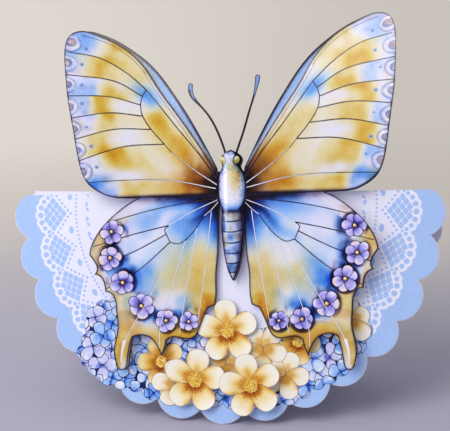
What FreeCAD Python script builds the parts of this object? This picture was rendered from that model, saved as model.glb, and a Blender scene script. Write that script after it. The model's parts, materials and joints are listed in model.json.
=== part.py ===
"""Rocker card: a folded, scalloped half-round card that stands like a tent, with a layered butterfly.

Every sheet is drawn flat in the plane of the front panel (x across, y up the panel from the fold, z out
of the panel towards the viewer) and is then leaned back into place. Millimetres, +Z up. The origin is on
the table, below the fold, midway between the front and rear feet.
"""
import FreeCAD, Part
import math
import os

Vector = FreeCAD.Vector

# Folded card.
CARD_RADIUS = 100.0          # centre of the half disc to the tip of a scallop
SCALLOP_COUNT = 29           # scallops in a full circle
SCALLOP_DEPTH = 5.7          # notch bottom below the scallop tips
FOLD_ABOVE_CENTRE = 5.0      # the fold lies this far above the disc's centre
PANEL_LEAN = 18.0            # degrees that each panel leans from the vertical
CARD_THICKNESS = 0.35
FOLD_RADIUS = 1.0            # outside radius of the rounded fold
FOLD_END_TRIM = 9.7          # the fold's ends are trimmed this far inside the scallop tips
TRIM_IN = 3.0                # the trimmed corners meet the scallops this far inside the tips
TRIM_DOWN = 9.0              # and this far below the fold
FRONT_TURN = 1.1             # degrees that the front was cut and glued out of square

# Printed sheets.
PAPER_THICKNESS = 0.25
PRINT_INSET = 0.3            # white card left showing round the lace sheet
LACE_TOP_CUT = 4.9           # straight top edge of the lace sheet above the disc's centre

# Foam pads.
PAD_THICKNESS = 1.0
PAD_SIDE = 6.0
PAD_DEPTH = 6.0

# Butterfly, drawn about its own axis and placed on the panel.
BUTTERFLY_X = 4.4
BUTTERFLY_Y = 0.0
BUTTERFLY_TURN = 2.2
WING_BEND_RADIUS = 300.0     # the second layer's wings curve forward on this radius
WING_FLAT_HALF = 9.0         # half width of the flat strip between the bends
BODY_DOME_RADIUS = 9.5
BODY_SHIFT = 0.7             # the body sits a little right of the wings' axis
BODY_CLEARANCE = 0.15        # between the dome's edge and the wings
WEB_HALF_WIDTH = 6.0         # strip that joins the wings, hidden by the body
WEB_BOTTOM = -3.0
WEB_TOP = 9.5
ANTENNA_HALF_WIDTH = 0.5
CLUB_HALF_WIDTHS = [0.9, 1.2]   # at the last two points of an antenna

# Cut flowers.
PETAL_COUNT = 5
PETAL_LENGTH = 14.2
PETAL_HALF_WIDTH = 5.4
PETAL_SIDE = [(0.0, 0.0), (0.64, 0.32), (1.0, 0.62), (0.74, 0.89), (0.0, 1.0)]  # in half widths, lengths
HEART_SHARE = 0.6            # radius of the flower's middle, in petal half widths
TIP_RISE_SHARE = 0.9         # petal tips rise by this share of a pad's thickness, to stay under the wings
FLOWERS = {                  # name: (x, y, turn in degrees, foam pads in the stack)
    "flower_centre": (3.6, -62.9, 6.0, 1),
    "flower_left": (-10.6, -85.4, -8.0, 2),
    "flower_right": (15.0, -86.7, 14.0, 3),
}

# Right half of each butterfly outline. Every run is a smooth curve, and runs meet in corners.
WING_COSTA_TOP = [(6.2, 8.8), (16.9, 26.0), (25.8, 39.0), (33.4, 50.0), (38.2, 58.0), (45.0, 65.6),
                  (53.0, 71.3), (60.3, 74.6), (67.6, 76.8), (73.2, 74.8)]
WING_COSTA_BASE = [(6.2, 11.0), (15.7, 29.5), (21.0, 38.7), (26.0, 46.5), (31.5, 54.5), (38.3, 62.2),
                   (46.0, 68.4), (53.0, 73.0), (60.8, 76.6), (67.4, 78.2), (73.2, 75.6)]
WING_OUTER_EDGE = [(75.5, 69.0), (75.5, 58.5), (74.5, 45.0), (72.3, 31.0), (70.1, 16.9), (68.4, 10.3),
                   (65.6, 5.2), (61.0, 1.6), (56.0, -0.6), (50.0, -1.3), (38.0, -1.3), (24.0, -1.4), (5.0, -2.2)]
LOWER_WING_RUNS = [
    [(5.0, -1.0), (40.0, -0.4)],
    [(40.0, -0.4), (47.6, -4.1), (54.3, -9.2), (59.2, -14.1), (62.6, -18.9), (64.8, -23.6), (65.5, -27.2)],
    [(65.5, -27.2), (63.4, -30.3), (62.2, -33.2), (63.4, -36.3)],
    [(63.4, -36.3), (60.3, -37.8), (58.9, -40.8), (58.5, -44.3)],
    [(58.5, -44.3), (55.7, -45.3), (54.1, -48.2), (53.6, -53.6), (53.1, -60.0), (54.0, -65.5),
     (55.0, -71.0), (54.2, -76.3), (52.0, -80.0), (50.0, -79.6), (48.8, -76.2), (47.8, -69.8),
     (46.5, -65.1)],
    [(46.5, -65.1), (42.3, -64.3), (38.2, -65.6)],
    [(38.2, -65.6), (35.4, -69.2), (33.5, -73.9)],
    [(33.5, -73.9), (31.8, -70.2), (31.0, -66.9)],
    [(31.0, -66.9), (25.8, -65.5), (20.8, -66.3), (17.3, -64.6), (15.5, -61.0), (13.6, -56.3),
     (11.8, -52.4)],
    [(11.8, -52.4), (8.4, -51.0)],
    [(8.4, -51.0), (7.5, -44.0), (7.5, -37.0), (6.7, -30.0), (6.2, -22.0), (5.9, -14.0), (5.0, -1.0)],
]
BODY_EDGE = [(0.0, 18.9), (2.4, 17.8), (4.5, 16.0), (4.9, 13.8), (4.1, 11.6), (5.4, 9.0), (6.3, 5.2), (6.5, 1.0),
             (5.9, -4.4), (4.8, -8.8), (5.0, -12.5), (5.2, -16.5), (4.4, -25.5), (2.7, -34.5), (0.0, -40.4)]
ANTENNA_LEFT = [(-1.9, 16.0), (-3.7, 22.2), (-6.6, 29.6), (-9.4, 34.8), (-13.6, 40.2), (-17.0, 44.2),
                (-18.1, 49.8)]
ANTENNA_RIGHT = [(2.1, 16.0), (3.7, 20.9), (6.2, 27.7), (8.7, 35.9), (11.1, 43.1), (12.6, 48.5),
                 (13.2, 52.2)]

# Spray of florets: the points where neighbouring petals meet on its edge. Each petal between is an arc.
SPRAY_NOTCHES = [(-46.0, -50.5), (-52.5, -51.2), (-58.8, -53.6), (-63.0, -59.2), (-61.6, -65.8),
                 (-65.0, -71.4), (-66.0, -78.0), (-60.2, -80.6), (-56.0, -86.2), (-49.6, -88.8),
                 (-42.6, -89.6), (-36.0, -90.6), (-27.5, -94.6), (-17.5, -94.8), (-8.0, -94.0),
                 (2.0, -95.5), (12.0, -95.0), (22.0, -93.6), (29.0, -94.0), (36.0, -91.8), (41.4, -86.6),
                 (48.0, -84.8), (53.2, -81.0), (58.6, -77.6), (61.8, -71.6), (65.4, -65.4), (66.6, -56.6),
                 (63.5, -50.4), (56.0, -49.5)]
SPRAY_TOP_EDGE = [(45.0, -56.0), (30.0, -60.0), (16.0, -62.0), (2.0, -66.0), (-10.0, -63.0), (-24.0, -60.0),
                  (-36.0, -54.0)]
PETAL_BULGE = 0.30           # arc height over its chord, on the spray's edge

# Foam pad places in the butterfly's own axes.
BASE_PADS = [(0.0, -9.0), (15.0, -10.0), (40.0, -17.0), (25.0, -40.0), (43.0, -58.0)]
WING_PADS_FLAT = [(0.0, 6.0), (0.0, 0.0)]
WING_PADS_BENT = [(30.0, 22.0), (32.0, -26.0)]
BODY_PADS = [(0.0, 5.5), (0.0, -3.5)]

# Values that follow from the sizes above.
FOLD_HALF_LENGTH = CARD_RADIUS - FOLD_END_TRIM
TRIM_OUT = CARD_RADIUS - TRIM_IN
PITCH = 2 * math.pi / SCALLOP_COUNT
LEAN = math.radians(PANEL_LEAN)
NOTCH_RADIUS = CARD_RADIUS - SCALLOP_DEPTH
HALF_CHORD = NOTCH_RADIUS * math.sin(PITCH / 2)
SCALLOP_RISE = CARD_RADIUS - NOTCH_RADIUS * math.cos(PITCH / 2)
SCALLOP_RADIUS = (HALF_CHORD ** 2 + SCALLOP_RISE ** 2) / (2 * SCALLOP_RISE)
SCALLOP_CENTRES = CARD_RADIUS - SCALLOP_RADIUS
PETAL_CUP_RADIUS = PETAL_LENGTH ** 2 / (2 * TIP_RISE_SHARE * PAD_THICKNESS)
FOLD_TANGENT = -FOLD_RADIUS * (1 - math.sin(LEAN)) / math.cos(LEAN)

LACE_Z = 0.0
SPRAY_Z = LACE_Z + PAPER_THICKNESS
SPRAY_TOP_Z = SPRAY_Z + PAPER_THICKNESS
BASE_Z = SPRAY_TOP_Z + PAD_THICKNESS
BASE_TOP_Z = BASE_Z + PAPER_THICKNESS
WINGS_Z = BASE_TOP_Z + PAD_THICKNESS
WINGS_TOP_Z = WINGS_Z + PAPER_THICKNESS
REACH = 2 * CARD_RADIUS      # longer than any sheet, for cutting tools


# Curves and flat sheets.
def curve(points):
    """A smooth edge through the points, or a straight one through two."""
    vectors = [Vector(x, y, 0) for x, y in points]
    if len(vectors) == 2:
        return Part.makeLine(*vectors)
    spline = Part.BSplineCurve()
    spline.interpolate(vectors)
    return spline.toShape()


def arc(start, middle, end):
    return Part.Arc(*(Vector(x, y, 0) for x, y in (start, middle, end))).toShape()


def sheet(edges, z, thickness):
    """A flat sheet with the given outline, its underside at z."""
    face = Part.Face(Part.Wire(Part.__sortEdges__(edges)))
    solid = face.extrude(Vector(0, 0, thickness))
    solid.translate(Vector(0, 0, z))
    return solid


def mirrored(points):
    return [(-x, y) for x, y in points]


def polar(radius, angle, centre_y):
    """A point at an angle from straight down, about the disc's centre."""
    return radius * math.sin(angle), centre_y - radius * math.cos(angle)


def joined(shapes):
    """One solid made of sheets that overlap in the same plane."""
    whole = shapes[0].multiFuse(shapes[1:]).removeSplitter()
    return whole.Solids[0]


def placed(shape, x, y, turn):
    """Turn a flat shape about its own origin and move it to its place on the panel."""
    moved = shape.copy()
    place = FreeCAD.Placement(Vector(x, y, 0), FreeCAD.Rotation(Vector(0, 0, 1), turn))
    moved.Placement = place.multiply(moved.Placement)
    return moved


# The folded card.
def scalloped_disc(turn, inset, centre_y, z, thickness):
    """A full disc with a scalloped edge, the first scallop centred at the turn angle from straight down."""
    radius = SCALLOP_RADIUS - inset
    notch = SCALLOP_CENTRES * math.cos(PITCH / 2) + math.sqrt(
        radius ** 2 - (SCALLOP_CENTRES * math.sin(PITCH / 2)) ** 2)
    edges = []
    for i in range(SCALLOP_COUNT):
        middle = turn + i * PITCH
        edges.append(arc(polar(notch, middle - PITCH / 2, centre_y),
                         polar(SCALLOP_CENTRES + radius, middle, centre_y),
                         polar(notch, middle + PITCH / 2, centre_y)))
    return sheet(edges, z, thickness)


def lowest_point(turn):
    """How far below the disc's centre the lowest scallop reaches."""
    offset = min(abs(turn + i * PITCH) for i in range(-1, 2))
    return SCALLOP_CENTRES * math.cos(offset) + SCALLOP_RADIUS


def polygon(points, z, thickness):
    loop = points + points[:1]
    return sheet([curve(pair) for pair in zip(loop, loop[1:])], z, thickness)


def panel(turn, centre_y):
    """One panel of the card, outer face at z = 0, from the rounded fold down."""
    half = [(FOLD_HALF_LENGTH, FOLD_TANGENT), (TRIM_OUT, -TRIM_DOWN), (REACH, -TRIM_DOWN), (REACH, -REACH)]
    window = polygon(half + mirrored(half)[::-1], -CARD_THICKNESS, CARD_THICKNESS)
    return scalloped_disc(turn, 0.0, centre_y, -CARD_THICKNESS, CARD_THICKNESS).common(window)


def leaned(shape):
    """Lean the panel back about the fold and stand it on the table."""
    tilted = shape.copy()
    tilted.rotate(Vector(0, 0, 0), Vector(1, 0, 0), 90 - PANEL_LEAN)
    tilted.translate(Vector(0, FOLD_Y, FOLD_HEIGHT))
    return tilted


FRONT_DROP = FOLD_ABOVE_CENTRE + lowest_point(math.radians(FRONT_TURN))
REAR_CENTRE = FRONT_DROP - lowest_point(PITCH / 2)
FOLD_HEIGHT = FRONT_DROP * math.cos(LEAN) + CARD_THICKNESS * math.sin(LEAN)
FOLD_Y = -(FOLD_RADIUS * math.cos(LEAN) + FOLD_TANGENT * math.sin(LEAN))


def fold():
    """The rounded fold: a strip of a tube that joins the two panels."""
    def rim(radius, degrees):
        angle = math.radians(degrees)
        return Vector(-FOLD_HALF_LENGTH, radius * math.cos(angle), centre_height + radius * math.sin(angle))

    centre_height = FOLD_HEIGHT - FOLD_RADIUS
    inner = FOLD_RADIUS - CARD_THICKNESS
    rear, top, front = PANEL_LEAN, 90.0, 180.0 - PANEL_LEAN
    outline = Part.Wire([
        Part.Arc(rim(FOLD_RADIUS, rear), rim(FOLD_RADIUS, top), rim(FOLD_RADIUS, front)).toShape(),
        Part.makeLine(rim(FOLD_RADIUS, front), rim(inner, front)),
        Part.Arc(rim(inner, front), rim(inner, top), rim(inner, rear)).toShape(),
        Part.makeLine(rim(inner, rear), rim(FOLD_RADIUS, rear)),
    ])
    return Part.Face(outline).extrude(Vector(2 * FOLD_HALF_LENGTH, 0, 0))


def card_blank():
    front = leaned(panel(math.radians(FRONT_TURN), -FOLD_ABOVE_CENTRE))
    rear = leaned(panel(PITCH / 2, -REAR_CENTRE))
    rear.rotate(Vector(0, 0, 0), Vector(0, 0, 1), 180)
    return joined([front, fold(), rear])


def lace_front():
    disc = scalloped_disc(0.0, PRINT_INSET, 0.0, LACE_Z, PAPER_THICKNESS)
    below_cut = polygon([(-REACH, LACE_TOP_CUT), (REACH, LACE_TOP_CUT), (REACH, -REACH), (-REACH, -REACH)],
                        LACE_Z, PAPER_THICKNESS)
    return placed(disc.common(below_cut).Solids[0], 0.0, -FOLD_ABOVE_CENTRE, FRONT_TURN)


# The spray and the cut flowers.
def petal_edge(start, end):
    """An arc from one notch to the next. The notches run anticlockwise, so it bulges to its right."""
    run_x, run_y = end[0] - start[0], end[1] - start[1]
    middle_x = (start[0] + end[0]) / 2 + run_y * PETAL_BULGE
    middle_y = (start[1] + end[1]) / 2 - run_x * PETAL_BULGE
    return arc(start, (middle_x, middle_y), end)


def flower_spray():
    edges = [petal_edge(*pair) for pair in zip(SPRAY_NOTCHES, SPRAY_NOTCHES[1:])]
    edges.append(curve([SPRAY_NOTCHES[-1]] + SPRAY_TOP_EDGE + [SPRAY_NOTCHES[0]]))
    return sheet(edges, SPRAY_Z, PAPER_THICKNESS)


def petal(z, thickness):
    """One petal pointing up from the flower's middle."""
    side = [(across * PETAL_HALF_WIDTH, along * PETAL_LENGTH) for across, along in PETAL_SIDE]
    whole = side + mirrored(side)[-2:0:-1]
    return sheet([curve(whole + whole[:1])], z, thickness)


def bowl(z, radius, thickness):
    """A thin bowl, lowest at its middle, that cups a flower."""
    centre = Vector(0, 0, z + radius)
    return Part.makeSphere(radius, centre).cut(Part.makeSphere(radius - thickness, centre))


def cut_flower(z):
    height = PETAL_LENGTH ** 2 / PETAL_CUP_RADIUS + PAPER_THICKNESS
    petals = [placed(petal(z, height), 0, 0, 360.0 * i / PETAL_COUNT) for i in range(PETAL_COUNT)]
    heart = Part.makeCylinder(PETAL_HALF_WIDTH * HEART_SHARE, height, Vector(0, 0, z))
    return joined(petals + [heart]).common(bowl(z, PETAL_CUP_RADIUS, PAPER_THICKNESS)).Solids[0]


# The butterfly.
def both_sides(points_list, z, thickness):
    """A right-hand outline as a sheet, and its mirror image."""
    right = sheet([curve(points) for points in points_list], z, thickness)
    left = right.mirror(Vector(0, 0, 0), Vector(1, 0, 0))
    return [right, left]


def wings(costa, z, thickness):
    edge = costa + WING_OUTER_EDGE
    upper = both_sides([edge, [edge[-1], edge[0]]], z, thickness)
    lower = both_sides(LOWER_WING_RUNS, z, thickness)
    web = polygon([(-WEB_HALF_WIDTH, WEB_BOTTOM), (WEB_HALF_WIDTH, WEB_BOTTOM), (WEB_HALF_WIDTH, WEB_TOP),
                   (-WEB_HALF_WIDTH, WEB_TOP)], z, thickness)
    return upper + lower + [web]


def antenna(path, z, thickness):
    """A narrow strip along the path, widening to a round club at its end."""
    right, left = [], []
    halves = [ANTENNA_HALF_WIDTH] * (len(path) - len(CLUB_HALF_WIDTHS)) + CLUB_HALF_WIDTHS
    for i, ((x, y), half) in enumerate(zip(path, halves)):
        ahead, behind = path[min(i + 1, len(path) - 1)], path[max(i - 1, 0)]
        run = math.dist(ahead, behind)
        across_x, across_y = (ahead[1] - behind[1]) / run, -(ahead[0] - behind[0]) / run
        right.append((x + across_x * half, y + across_y * half))
        left.append((x - across_x * half, y - across_y * half))
    club = (path[-1][0] - across_y * half, path[-1][1] + across_x * half)
    return sheet([curve(right), arc(right[-1], club, left[-1]), curve(left), curve([left[0], right[0]])],
                 z, thickness)


def body_sheet(z, thickness):
    outline = sheet([curve(BODY_EDGE), curve(mirrored(BODY_EDGE))], z, thickness)
    return placed(outline, BODY_SHIFT, 0, 0)


def bend_height(distance):
    """How far the bent wings stand forward at a distance from the butterfly's axis."""
    beyond = max(0.0, distance - WING_FLAT_HALF)
    return WING_BEND_RADIUS - math.sqrt(WING_BEND_RADIUS ** 2 - beyond ** 2)


def bend_profile(z):
    """The underside of the bent wings, seen along the butterfly's axis."""
    edges = []
    for side in (-1, 1):
        points = [Vector(side * d, -REACH, z + bend_height(d)) for d in
                  (WING_FLAT_HALF, (WING_FLAT_HALF + CARD_RADIUS) / 2, CARD_RADIUS)]
        edges.append(Part.Arc(*points).toShape())
    flat = Part.makeLine(Vector(-WING_FLAT_HALF, -REACH, z), Vector(WING_FLAT_HALF, -REACH, z))
    return edges, flat


def below_bend(z):
    """Everything below the bent surface whose flat strip is at z."""
    (left, right), flat = bend_profile(z)
    floor = [Vector(side * CARD_RADIUS, -REACH, -REACH) for side in (-1, 1)]
    rims = [Vector(side * CARD_RADIUS, -REACH, z + bend_height(CARD_RADIUS)) for side in (-1, 1)]
    ends = [rims[0]] + floor + [rims[1]]
    sides = [Part.makeLine(*pair) for pair in zip(ends, ends[1:])]
    outline = Part.Wire(Part.__sortEdges__([left, flat, right] + sides))
    return Part.Face(outline).extrude(Vector(0, 2 * REACH, 0))


def on_butterfly(shape):
    return placed(shape, BUTTERFLY_X, BUTTERFLY_Y, BUTTERFLY_TURN)


def butterfly_base():
    antennae = [antenna(path, BASE_Z, PAPER_THICKNESS) for path in (ANTENNA_LEFT, ANTENNA_RIGHT)]
    body = body_sheet(BASE_Z, PAPER_THICKNESS)
    return on_butterfly(joined(wings(WING_COSTA_BASE, BASE_Z, PAPER_THICKNESS) + [body] + antennae))


def butterfly_wings():
    block = joined(wings(WING_COSTA_TOP, BASE_Z, REACH))
    skin = below_bend(WINGS_TOP_Z).cut(below_bend(WINGS_Z))
    return on_butterfly(block.common(skin).Solids[0])


def dome_drop(distance):
    """How far the domed body lies below its crown at a distance from its axis."""
    return BODY_DOME_RADIUS - math.sqrt(BODY_DOME_RADIUS ** 2 - distance ** 2)


BODY_HALF_WIDTH = max(x for x, y in BODY_EDGE)
BODY_Z = WINGS_TOP_Z + BODY_CLEARANCE + dome_drop(BODY_HALF_WIDTH)


def dome(z, radius, thickness):
    """A long thin arch along the body, highest on its axis, with its crown's underside at z."""
    foot = Vector(BODY_SHIFT, -REACH, z - radius)
    outer = Part.makeCylinder(radius + thickness, 2 * REACH, foot, Vector(0, 1, 0))
    return outer.cut(Part.makeCylinder(radius, 2 * REACH, foot, Vector(0, 1, 0)))


def butterfly_body():
    block = body_sheet(WINGS_TOP_Z, BODY_DOME_RADIUS)
    return on_butterfly(block.common(dome(BODY_Z, BODY_DOME_RADIUS, PAPER_THICKNESS)).Solids[0])


# Foam pads.
def pad(x, y, bottom, top):
    corner = Vector(x - PAD_SIDE / 2, y - PAD_DEPTH / 2, bottom)
    return Part.makeBox(PAD_SIDE, PAD_DEPTH, top - bottom, corner)


def on_both_wings(places):
    """Each place on the right wing and its mirror image on the left; a place on the axis stays single."""
    return [(side * x, y) for x, y in places for side in (1, -1) if x or side > 0]


def base_pads(spray):
    """Pads that carry the first layer. Those over the spray stand on it, the others on the lace sheet."""
    pads = []
    for x, y in on_both_wings(BASE_PADS):
        solid = on_butterfly(pad(x, y, SPRAY_Z, BASE_Z))
        pads.append(solid.cut(spray) if solid.common(spray).Volume > 0 else solid)
    return pads


def wing_pads():
    flat = [pad(x, y, BASE_TOP_Z, WINGS_Z) for x, y in WING_PADS_FLAT]
    under = below_bend(WINGS_Z)
    tall = [pad(x, y, BASE_TOP_Z, REACH) for x, y in on_both_wings(WING_PADS_BENT)]
    bent = [solid.common(under).Solids[0] for solid in tall]
    return [on_butterfly(solid) for solid in flat + bent]


def body_pads():
    top = BODY_Z - dome_drop(PAD_SIDE / 2)
    return [on_butterfly(pad(x + BODY_SHIFT, y, WINGS_TOP_Z, top)) for x, y in BODY_PADS]


def flower_nodes():
    nodes = {}
    for name, (x, y, turn, pads) in FLOWERS.items():
        flower_z = SPRAY_TOP_Z + pads * PAD_THICKNESS
        nodes[name] = placed(cut_flower(flower_z), x, y, turn)
        for i in range(pads):
            bottom = SPRAY_TOP_Z + i * PAD_THICKNESS
            nodes[f"{name}_pad_{i + 1}"] = placed(pad(0, 0, bottom, bottom + PAD_THICKNESS), x, y, turn)
    return nodes


def numbered(name, shapes):
    return {f"{name}_{i + 1}": shape for i, shape in enumerate(shapes)}


def build():
    spray = flower_spray()
    on_panel = {
        "lace_front": lace_front(),
        "flower_spray": spray,
        "butterfly_base": butterfly_base(),
        "butterfly_wings": butterfly_wings(),
        "butterfly_body": butterfly_body(),
        **numbered("base_pad", base_pads(spray)),
        **numbered("wing_pad", wing_pads()),
        **numbered("body_pad", body_pads()),
        **flower_nodes(),
    }
    nodes = {"card_blank": card_blank()}
    nodes.update({name: leaned(shape) for name, shape in on_panel.items()})
    return nodes


os.makedirs("parts", exist_ok=True)
for name, shape in build().items():
    shape.exportStep(f"parts/{name}.step")
    box = shape.BoundBox
    print(f"{name}: {len(shape.Solids)} solid, valid {shape.isValid()}, {shape.Volume:.1f} mm3, "
          f"{box.XLength:.1f} x {box.YLength:.1f} x {box.ZLength:.1f} mm from {box.ZMin:.1f} mm up")
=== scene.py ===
"""Looks of the rocker card: printed paper layers over a folded white card.

Drawings on the sheets are in millimetres in the plane of the front panel: x across, y up from the fold,
z out towards the viewer. Butterfly drawings use the butterfly's own axis. Everything else is in metres.
"""
import json
import math

import bpy
import numpy as np
from bpy.props import FloatProperty, FloatVectorProperty, PointerProperty
from mathutils import Matrix, Vector
from mathutils.geometry import delaunay_2d_cdt
from mathutils.kdtree import KDTree


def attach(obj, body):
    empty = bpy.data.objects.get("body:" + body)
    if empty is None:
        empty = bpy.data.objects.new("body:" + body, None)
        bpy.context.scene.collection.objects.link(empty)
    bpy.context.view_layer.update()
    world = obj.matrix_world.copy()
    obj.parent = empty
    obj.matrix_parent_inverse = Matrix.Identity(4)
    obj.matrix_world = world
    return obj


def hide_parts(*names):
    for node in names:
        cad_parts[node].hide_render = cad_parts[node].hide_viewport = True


bl_info = {
    "name": "Rocker Card",
    "version": (1, 0, 0),
    "blender": (4, 5, 0),
    "location": "3D View > Sidebar > Rocker Card",
    "description": "Prints, papers and pads of a folded card with a layered butterfly",
    "category": "Add Mesh",
}

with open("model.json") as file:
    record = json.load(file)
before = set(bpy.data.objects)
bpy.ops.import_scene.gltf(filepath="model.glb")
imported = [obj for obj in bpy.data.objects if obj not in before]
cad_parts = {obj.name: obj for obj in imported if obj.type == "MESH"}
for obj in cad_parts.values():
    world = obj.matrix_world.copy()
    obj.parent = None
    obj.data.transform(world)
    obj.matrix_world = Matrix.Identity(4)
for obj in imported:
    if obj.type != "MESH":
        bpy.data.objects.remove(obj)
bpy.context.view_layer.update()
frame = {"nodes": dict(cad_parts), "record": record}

MM = 0.001

# The front panel's plane, from the flat face named on the rear panel, its mirror image about the fold.
FACE_BELOW_FOLD = 0.050
BACK_FACE = next(mount for mount in frame["record"]["mounts"] if mount["name"] == "back_face")
LEAN = math.atan2(BACK_FACE["axis"][2], BACK_FACE["axis"][1])
ACROSS = np.array((1.0, 0.0, 0.0))
UP = np.array((0.0, math.sin(LEAN), math.cos(LEAN)))
OUT = np.array((0.0, -math.cos(LEAN), math.sin(LEAN)))
FOLD = np.array((0.0, -BACK_FACE["pos_m"][1], BACK_FACE["pos_m"][2])) + FACE_BELOW_FOLD * UP

# Where the drawings lie on the panel: centre, and turn in degrees.
DISC_CENTRE = (0.0, -5.0)
DISC_TURN = 1.1
BUTTERFLY_PLACE = (4.4, 0.0)
BUTTERFLY_TURN = 2.2
FLOWER_PLACES = {"flower_centre": (3.6, -62.9, 6.0), "flower_left": (-10.6, -85.4, -8.0),
                 "flower_right": (15.0, -86.7, 14.0)}

# How the sheets are bent.
PAPER_THICKNESS = 0.25
WING_FLAT_HALF = 9.0
WING_BEND_RADIUS = 300.0
BODY_SHIFT = 0.7
BODY_RADIUS = 9.75
BODY_CLEARANCE = 0.1
FLOWER_CUP_RADIUS = 111.77
FLOWER_REACH = 20.0

# How finely things are divided: the plain backs of sheets, the marks that distances are measured to, and
# the random field, which repeats after this many cells.
BACK_STEP = 4.0
MARK_STEP = 0.12
FIELD_CELLS = 64

EDGE_CLEARANCE = 0.45               # loose points keep this share of their spacing from a sheet's edge
SHARP_EDGE = 40                     # degrees; a sheet's faces are shaded smooth where they meet at less

# The film that each wash lays at a strength of 1: amber, blue, rust and violet, and then the dark shade.
# After them, the most strength that a wash has.
FULL_WASH = (0.84, 0.70, 0.60, 0.40)
FULL_SHADE = 0.92
MOST_STRENGTH = 2

SLOTS = {part["node"]: part["material_slot"] for part in frame["record"]["subparts"]}


# Colours.
def linear(hex_colour):
    """A hex sRGB colour as linear red, green and blue."""
    values = [int(hex_colour[i:i + 2], 16) / 255 for i in (1, 3, 5)]
    return tuple(v / 12.92 if v <= 0.04045 else ((v + 0.055) / 1.055) ** 2.4 for v in values)


# Shapes on a sheet.
def to_world(points):
    """Places on the panel, in millimetres, as places in the room, in metres."""
    points = np.asarray(points, float)
    return FOLD + MM * (points[:, :1] * ACROSS + points[:, 1:2] * UP + points[:, 2:3] * OUT)


def to_panel(points):
    """The reverse of to_world."""
    offset = (np.asarray(points, float) - FOLD) / MM
    return np.stack([offset @ ACROSS, offset @ UP, offset @ OUT], axis=1)


def turned(points, degrees):
    """Drawing points turned anticlockwise about the origin."""
    cosine, sine = math.cos(math.radians(degrees)), math.sin(math.radians(degrees))
    x, y = np.asarray(points, float).T
    return np.stack([x * cosine - y * sine, x * sine + y * cosine], axis=1)


def placed(points, place, degrees=0.0):
    """Drawing points turned about their own origin and moved to their place."""
    return turned(points, degrees) + np.asarray(place)


def unplaced(points, place, degrees=0.0):
    """The reverse of placed."""
    return turned(np.asarray(points, float) - np.asarray(place), -degrees)


def smooth_path(points, step=0.8):
    """A smooth line through a few points, sampled about every step of its length."""
    points = np.asarray(points, float)
    ends = np.vstack([2 * points[0] - points[1], points, 2 * points[-1] - points[-2]])
    line = []
    for a, b, c, d in zip(ends, ends[1:], ends[2:], ends[3:]):
        count = max(1, int(np.linalg.norm(c - b) / step))
        for t in np.linspace(0, 1, count, endpoint=False):
            line.append(0.5 * (2 * b + (c - a) * t + (2 * a - 5 * b + 4 * c - d) * t ** 2
                               + (3 * b - a - 3 * c + d) * t ** 3))
    return np.array(line + [points[-1]])


def ribbon(path, start_width, end_width):
    """A line drawn with a pen that tapers from one width to another."""
    path = np.asarray(path, float)
    run = np.gradient(path, axis=0)
    side = np.stack([-run[:, 1], run[:, 0]], axis=1) / np.linalg.norm(run, axis=1)[:, None]
    half = np.linspace(start_width, end_width, len(path))[:, None] / 2
    return np.vstack([path - side * half, (path + side * half)[::-1]])


def ellipse(centre, across, along, degrees=0.0, count=16):
    """An oval with the given half widths, as a closed outline of so many points."""
    angle = np.arange(count) * 2 * math.pi / count
    return placed(np.stack([across * np.cos(angle), along * np.sin(angle)], axis=1), centre, degrees)


def signed_area(loop):
    """Area inside a closed outline, negative where it runs clockwise."""
    following = np.roll(loop, -1, axis=0)
    return 0.5 * np.sum(loop[:, 0] * following[:, 1] - following[:, 0] * loop[:, 1])


def inside(points, loop):
    """Which points lie inside a closed outline, by how often a level line from them crosses it."""
    hit = np.zeros(len(points), bool)
    x, y = points.T
    for (ax, ay), (bx, by) in zip(loop, np.roll(loop, -1, axis=0)):
        if ay != by:
            crosses = (ay > y) != (by > y)
            hit ^= crosses & (x < (bx - ax) * (y - ay) / (by - ay) + ax)
    return hit


def distance(points, path, closed=False):
    """Distance from each point to the nearest mark of a path, which is marked off in short steps."""
    path = np.asarray(path, float)
    ends = np.roll(path, -1, axis=0) if closed else path[1:]
    marks = []
    for a, b in zip(path, ends):
        count = max(1, math.ceil(np.linalg.norm(b - a) / MARK_STEP))
        marks += [a + (b - a) * i / count for i in range(count)]
    marks.append(ends[-1])
    tree = KDTree(len(marks))
    for i, (x, y) in enumerate(marks):
        tree.insert((x, y, 0), i)
    tree.balance()
    return np.array([tree.find((x, y, 0))[2] for x, y in points])


def ramp(value, start, end):
    """Rises smoothly from 0 at start to 1 at end."""
    share = np.clip((value - start) / (end - start), 0, 1)
    return share * share * (3 - 2 * share)


def band(value, rise, top, drop, end):
    """Rises from 0 to 1 and then drops to 0 again."""
    return ramp(value, rise, top) * (1 - ramp(value, drop, end))


def fade(value, reach):
    """1 where the value is 0, falling softly away over the reach."""
    return np.exp(-(value / reach) ** 2)


def blob(points, centre, across, along, degrees=0.0):
    """A soft oval stain, 1 at its middle."""
    x, y = unplaced(points, centre, degrees).T
    return np.exp(-(x / across) ** 2 - (y / along) ** 2)


def stains(points, rows):
    """Soft oval stains added up; a row is a strength, a centre, two half widths and a turn in degrees."""
    return sum(strength * blob(points, *oval) for strength, *oval in rows)


def cloud(points, size, seed):
    """Smooth random field from 0 to 1 with features of about the given size."""
    lattice = np.random.default_rng(seed).random((FIELD_CELLS, FIELD_CELLS))
    cell = np.asarray(points, float) / size + FIELD_CELLS // 2
    low = np.floor(cell).astype(int)
    part = cell - low
    part = part * part * (3 - 2 * part)
    along, up = part.T
    i, j = low.T % FIELD_CELLS
    next_i, next_j = (i + 1) % FIELD_CELLS, (j + 1) % FIELD_CELLS
    bottom = lattice[i, j] * (1 - along) + lattice[next_i, j] * along
    top = lattice[i, next_j] * (1 - along) + lattice[next_i, next_j] * along
    return bottom * (1 - up) + top * up


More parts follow.
